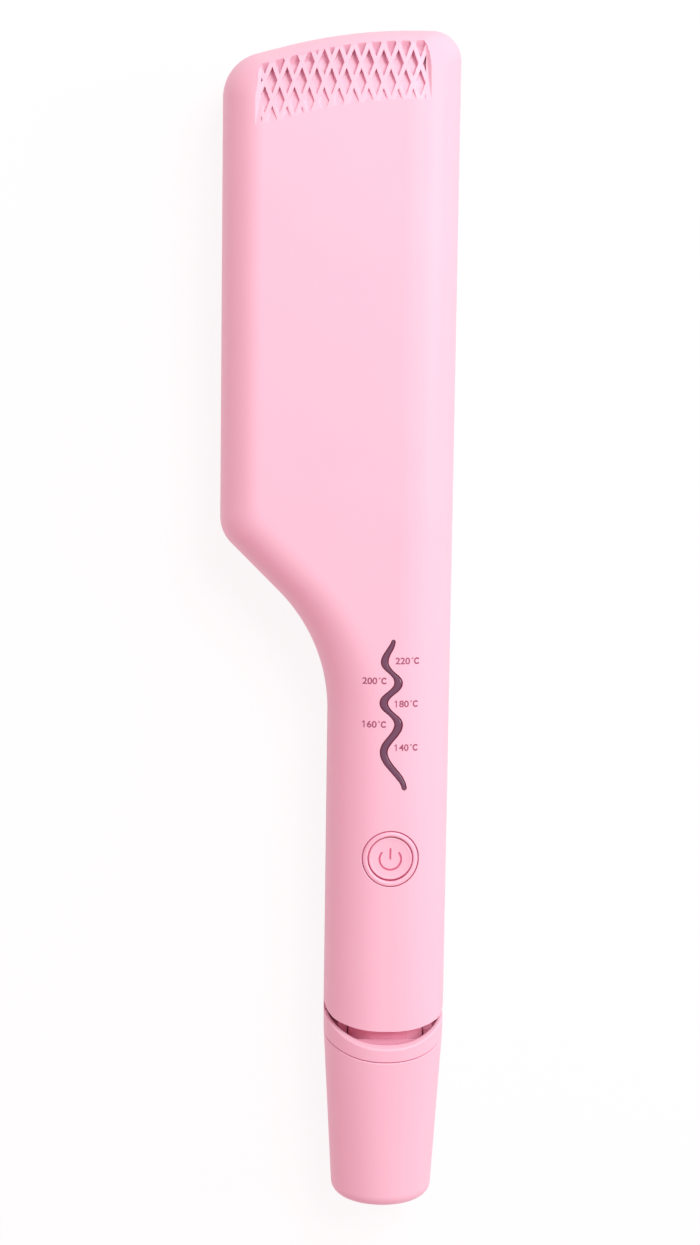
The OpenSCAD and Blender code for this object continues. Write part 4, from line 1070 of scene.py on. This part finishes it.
def metal(name, colour, rough):
    """Turned or plated metal with streaks in its sheen."""
    finish = Finish(name, Metallic=1.0)
    streak = finish.noise(700, 2)
    finish.set("Base Color", finish.blend(streak * 0.4, colour, tuple(0.72 * c for c in colour)))
    return finish.surface(streak, 0.25, rough, streak, 0.00001, 0.3)


def smoked(name):
    """Smoked lens: plum that turns greyer in patches and redder towards its edges, under a clear coat."""
    finish = Finish(name, Coat_Weight=0.6, Coat_Roughness=0.12)
    body = finish.blend(finish.noise(90, 2), srgb(92, 74, 98), srgb(112, 76, 98))
    finish.set("Base Color", finish.blend(finish.share("side") ** 3, body, srgb(122, 56, 82)))
    return finish.surface(finish.noise(300, 2), 0.08, 0.3, finish.noise(1200, 2), 0.00001, 0.1)


skin_pink = shell_plastic("soft_touch_pink", 0.46)
button_pink = shell_plastic("button_pink", 0.36)
hinge_pink = moulded("hinge_pink", (240, 166, 191), (236, 158, 184), 0.45)
mark_pink = moulded("power_mark", (218, 116, 150), (210, 108, 142), 0.45)
label_ink = moulded("label_ink", (164, 92, 122), (156, 84, 114), 0.55)
lens_plum = smoked("smoked_lens")
plate_coat = moulded("ceramic_coat", (66, 60, 62), (54, 49, 52), 0.28, 0.00001, 2600)
insulator = moulded("insulator", (226, 219, 202), (214, 206, 188), 0.6)
heater_wrap = moulded("heater_wrap", (196, 150, 92), (182, 134, 78), 0.32)
bush_white = moulded("bush_plastic", (230, 228, 220), (220, 217, 208), 0.45)
board_green = moulded("solder_mask", (34, 96, 56), (26, 82, 46), 0.3)
led_white = moulded("led_body", (240, 238, 226), (232, 229, 214), 0.35)
switch_black = moulded("switch_black", (44, 44, 46), (36, 36, 38), 0.4)
lead_red = moulded("lead_jacket", (176, 34, 40), (160, 26, 32), 0.5)
bead_brown = moulded("bead_resin", (122, 70, 48), (108, 60, 40), 0.35)
steel = metal("plated_steel", (0.62, 0.62, 0.63), 0.345)


def dress(piece, material, slot, body, *replaced):
    """Gives a piece its material and body, and hides the nodes it stands for. The slot argument is not used.
    """
    piece.data.materials.clear()
    piece.data.materials.append(material)
    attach(piece, body)
    if replaced:
        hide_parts(*replaced)
    return piece


def eased_copy(node, width):
    """A copy of a CAD node with welded points and eased edges."""
    piece = add_object(node + "_eased", NODES[node].data.copy())
    weld = piece.modifiers.new("weld", "WELD")
    weld.merge_threshold = 0.00001
    finished(piece)
    piece.data.set_sharp_from_angle(angle=math.radians(33))
    return smooth(bevelled(piece, width, 38, 2))


front_skin = make_front_skin()
dress(front_skin, skin_pink, "soft_pink", "front_arm", "front_shell")
dress(make_rear_skin(), skin_pink, "soft_pink", "base", "rear_shell")
dress(make_collar(), skin_pink, "soft_pink", "base", "hinge_collar")
dress(make_cone(), skin_pink, "soft_pink", "base", "base_cone")
dress(make_bezel(), button_pink, "button_pink", "front_arm", "button_bezel")
dress(make_cap(), button_pink, "button_pink", "power_button", "power_button")
dress(make_mark(), mark_pink, "deep_pink", "power_button")
dress(make_lens(), lens_plum, "smoked_lens", "front_arm", "indicator_lens")
for digits, x, y in LABELS:
    dress(make_label(digits, x, y, front_skin), label_ink, "smoked_lens", "front_arm")
dress(make_wave_plate("front_plate_skin", 1), plate_coat, "plate_coating", "front_arm", "front_wave_plate")
dress(make_wave_plate("rear_plate_skin", -1), plate_coat, "plate_coating", "base", "rear_wave_plate")
dress(eased_copy("hinge_frame", 0.3), hinge_pink, "deep_pink", "front_arm", "hinge_frame")
dress(eased_copy("cord_gland", 0.3), hinge_pink, "deep_pink", "cord_swivel", "cord_gland")
dress(eased_copy("lock_slider", 0.2), hinge_pink, "deep_pink", "storage_lock", "lock_slider")

NODE_FINISH = [
    (skin_pink, ["front_inner_cover", "rear_inner_cover"]),
    (steel, ["hinge_pin", "torsion_spring", "frame_screws", "collar_screws", "base_screws"]),
    (steel, ["board_screws", "front_carrier_screws", "rear_carrier_screws", "thermal_fuse"]),
    (bush_white, ["hinge_bushes", "terminal_block", "swivel_retainer"]),
    (insulator, ["front_plate_carrier", "rear_plate_carrier"]),
    (heater_wrap, ["front_heater", "rear_heater"]),
    (bead_brown, ["thermistor"]),
    (board_green, ["control_board"]),
    (led_white, ["indicator_leds"]),
    (switch_black, ["tact_switch"]),
    (lead_red, ["front_leads", "rear_leads"]),
]
for finish, nodes in NODE_FINISH:
    for node in nodes:
        for holder in NODES[node].material_slots:
            holder.material = finish


# Floor, light and camera

FLOOR_HALF = 6.0
CAMERA_LEFT, CAMERA_UP, ROLL = np.radians([3.6, 8.0, 0.8])
CAMERA_TARGET, CAMERA_DISTANCE = np.array([4.25, 2.0, 18.0]), 700.0
# The focal length over the picture's height, both in the photograph's pixels
FOCAL_SHARE = 2485 / 1245
SENSOR = 36.0


def add_floor():
    """A pale floor that shows white to the camera and keeps the tool's soft shadow."""
    mesh = bpy.data.meshes.new("floor")
    corners = [(x * FLOOR_HALF, y * FLOOR_HALF, 0) for x, y in ((-1, -1), (1, -1), (1, 1), (-1, 1))]
    mesh.from_pydata(corners, [], [(0, 1, 2, 3)])
    finish = Finish("floor_white")
    card = finish.node("Emission", {}, {"Color": (1, 1, 1), "Strength": 1.03})
    matte = finish.node("BsdfDiffuse", {}, {"Color": (0.86, 0.86, 0.86)})
    camera, glossy, transmitted = (
        Value(finish.tree, finish.node("LightPath", {}, {}, f"Is {kind} Ray"))
        for kind in ("Camera", "Glossy", "Transmission")
    )
    seen = camera.apply("MAXIMUM", glossy).apply("MAXIMUM", transmitted)
    mix = finish.node("MixShader", {}, {0: seen * 0.85, 1: matte, 2: card})
    finish.feed(finish.tree.nodes["Material Output"].inputs["Surface"], mix)
    mesh.materials.append(finish.material)
    add_object("floor", mesh)


def add_light(name, place_at, size, power, colour):
    """A soft square lamp aimed at the origin."""
    lamp = bpy.data.lights.new(name, "AREA")
    lamp.size = size
    lamp.energy = power
    lamp.color = colour
    item = add_object(name, lamp)
    item.location = place_at
    item.rotation_euler = (-Vector(place_at)).to_track_quat("-Z", "Y").to_euler()


def add_camera():
    """The photograph's camera above the tool, a little to its left and towards its tip, slightly rolled."""
    towards = unit(np.array([-math.tan(CAMERA_LEFT), math.tan(CAMERA_UP), 1.0]))
    right = unit(np.cross([0, 1, 0], towards))
    up = np.cross(towards, right)
    turn = np.array([[math.cos(ROLL), math.sin(ROLL)], [-math.sin(ROLL), math.cos(ROLL)]])
    right, up = turn @ np.array([right, up])
    at = (CAMERA_TARGET + CAMERA_DISTANCE * towards) * MM
    lens = bpy.data.cameras.new("camera")
    lens.sensor_width = SENSOR
    lens.sensor_height = SENSOR
    lens.lens = FOCAL_SHARE * SENSOR
    lens.clip_end = 50
    camera = add_object("camera", lens)
    columns = np.column_stack([right, up, towards, at])
    camera.matrix_world = Matrix(np.vstack([columns, [0, 0, 0, 1]]).tolist())
    bpy.context.scene.camera = camera


add_floor()
add_camera()
add_light("key", (0.4, 0.68, 1.13), size=0.6, power=12.0, colour=(0.84, 1.0, 0.98))
add_light("side", (1.15, 0.2, 0.6), size=0.4, power=3.6, colour=(0.9, 1.0, 0.98))
world = bpy.data.worlds.new("world")
bpy.context.scene.world = world
world.use_nodes = True
background = world.node_tree.nodes["Background"]
background.inputs["Color"].default_value = (1.0, 0.52, 0.6, 1)
background.inputs["Strength"].default_value = 0.74
bpy.context.scene.view_settings.view_transform = "Standard"
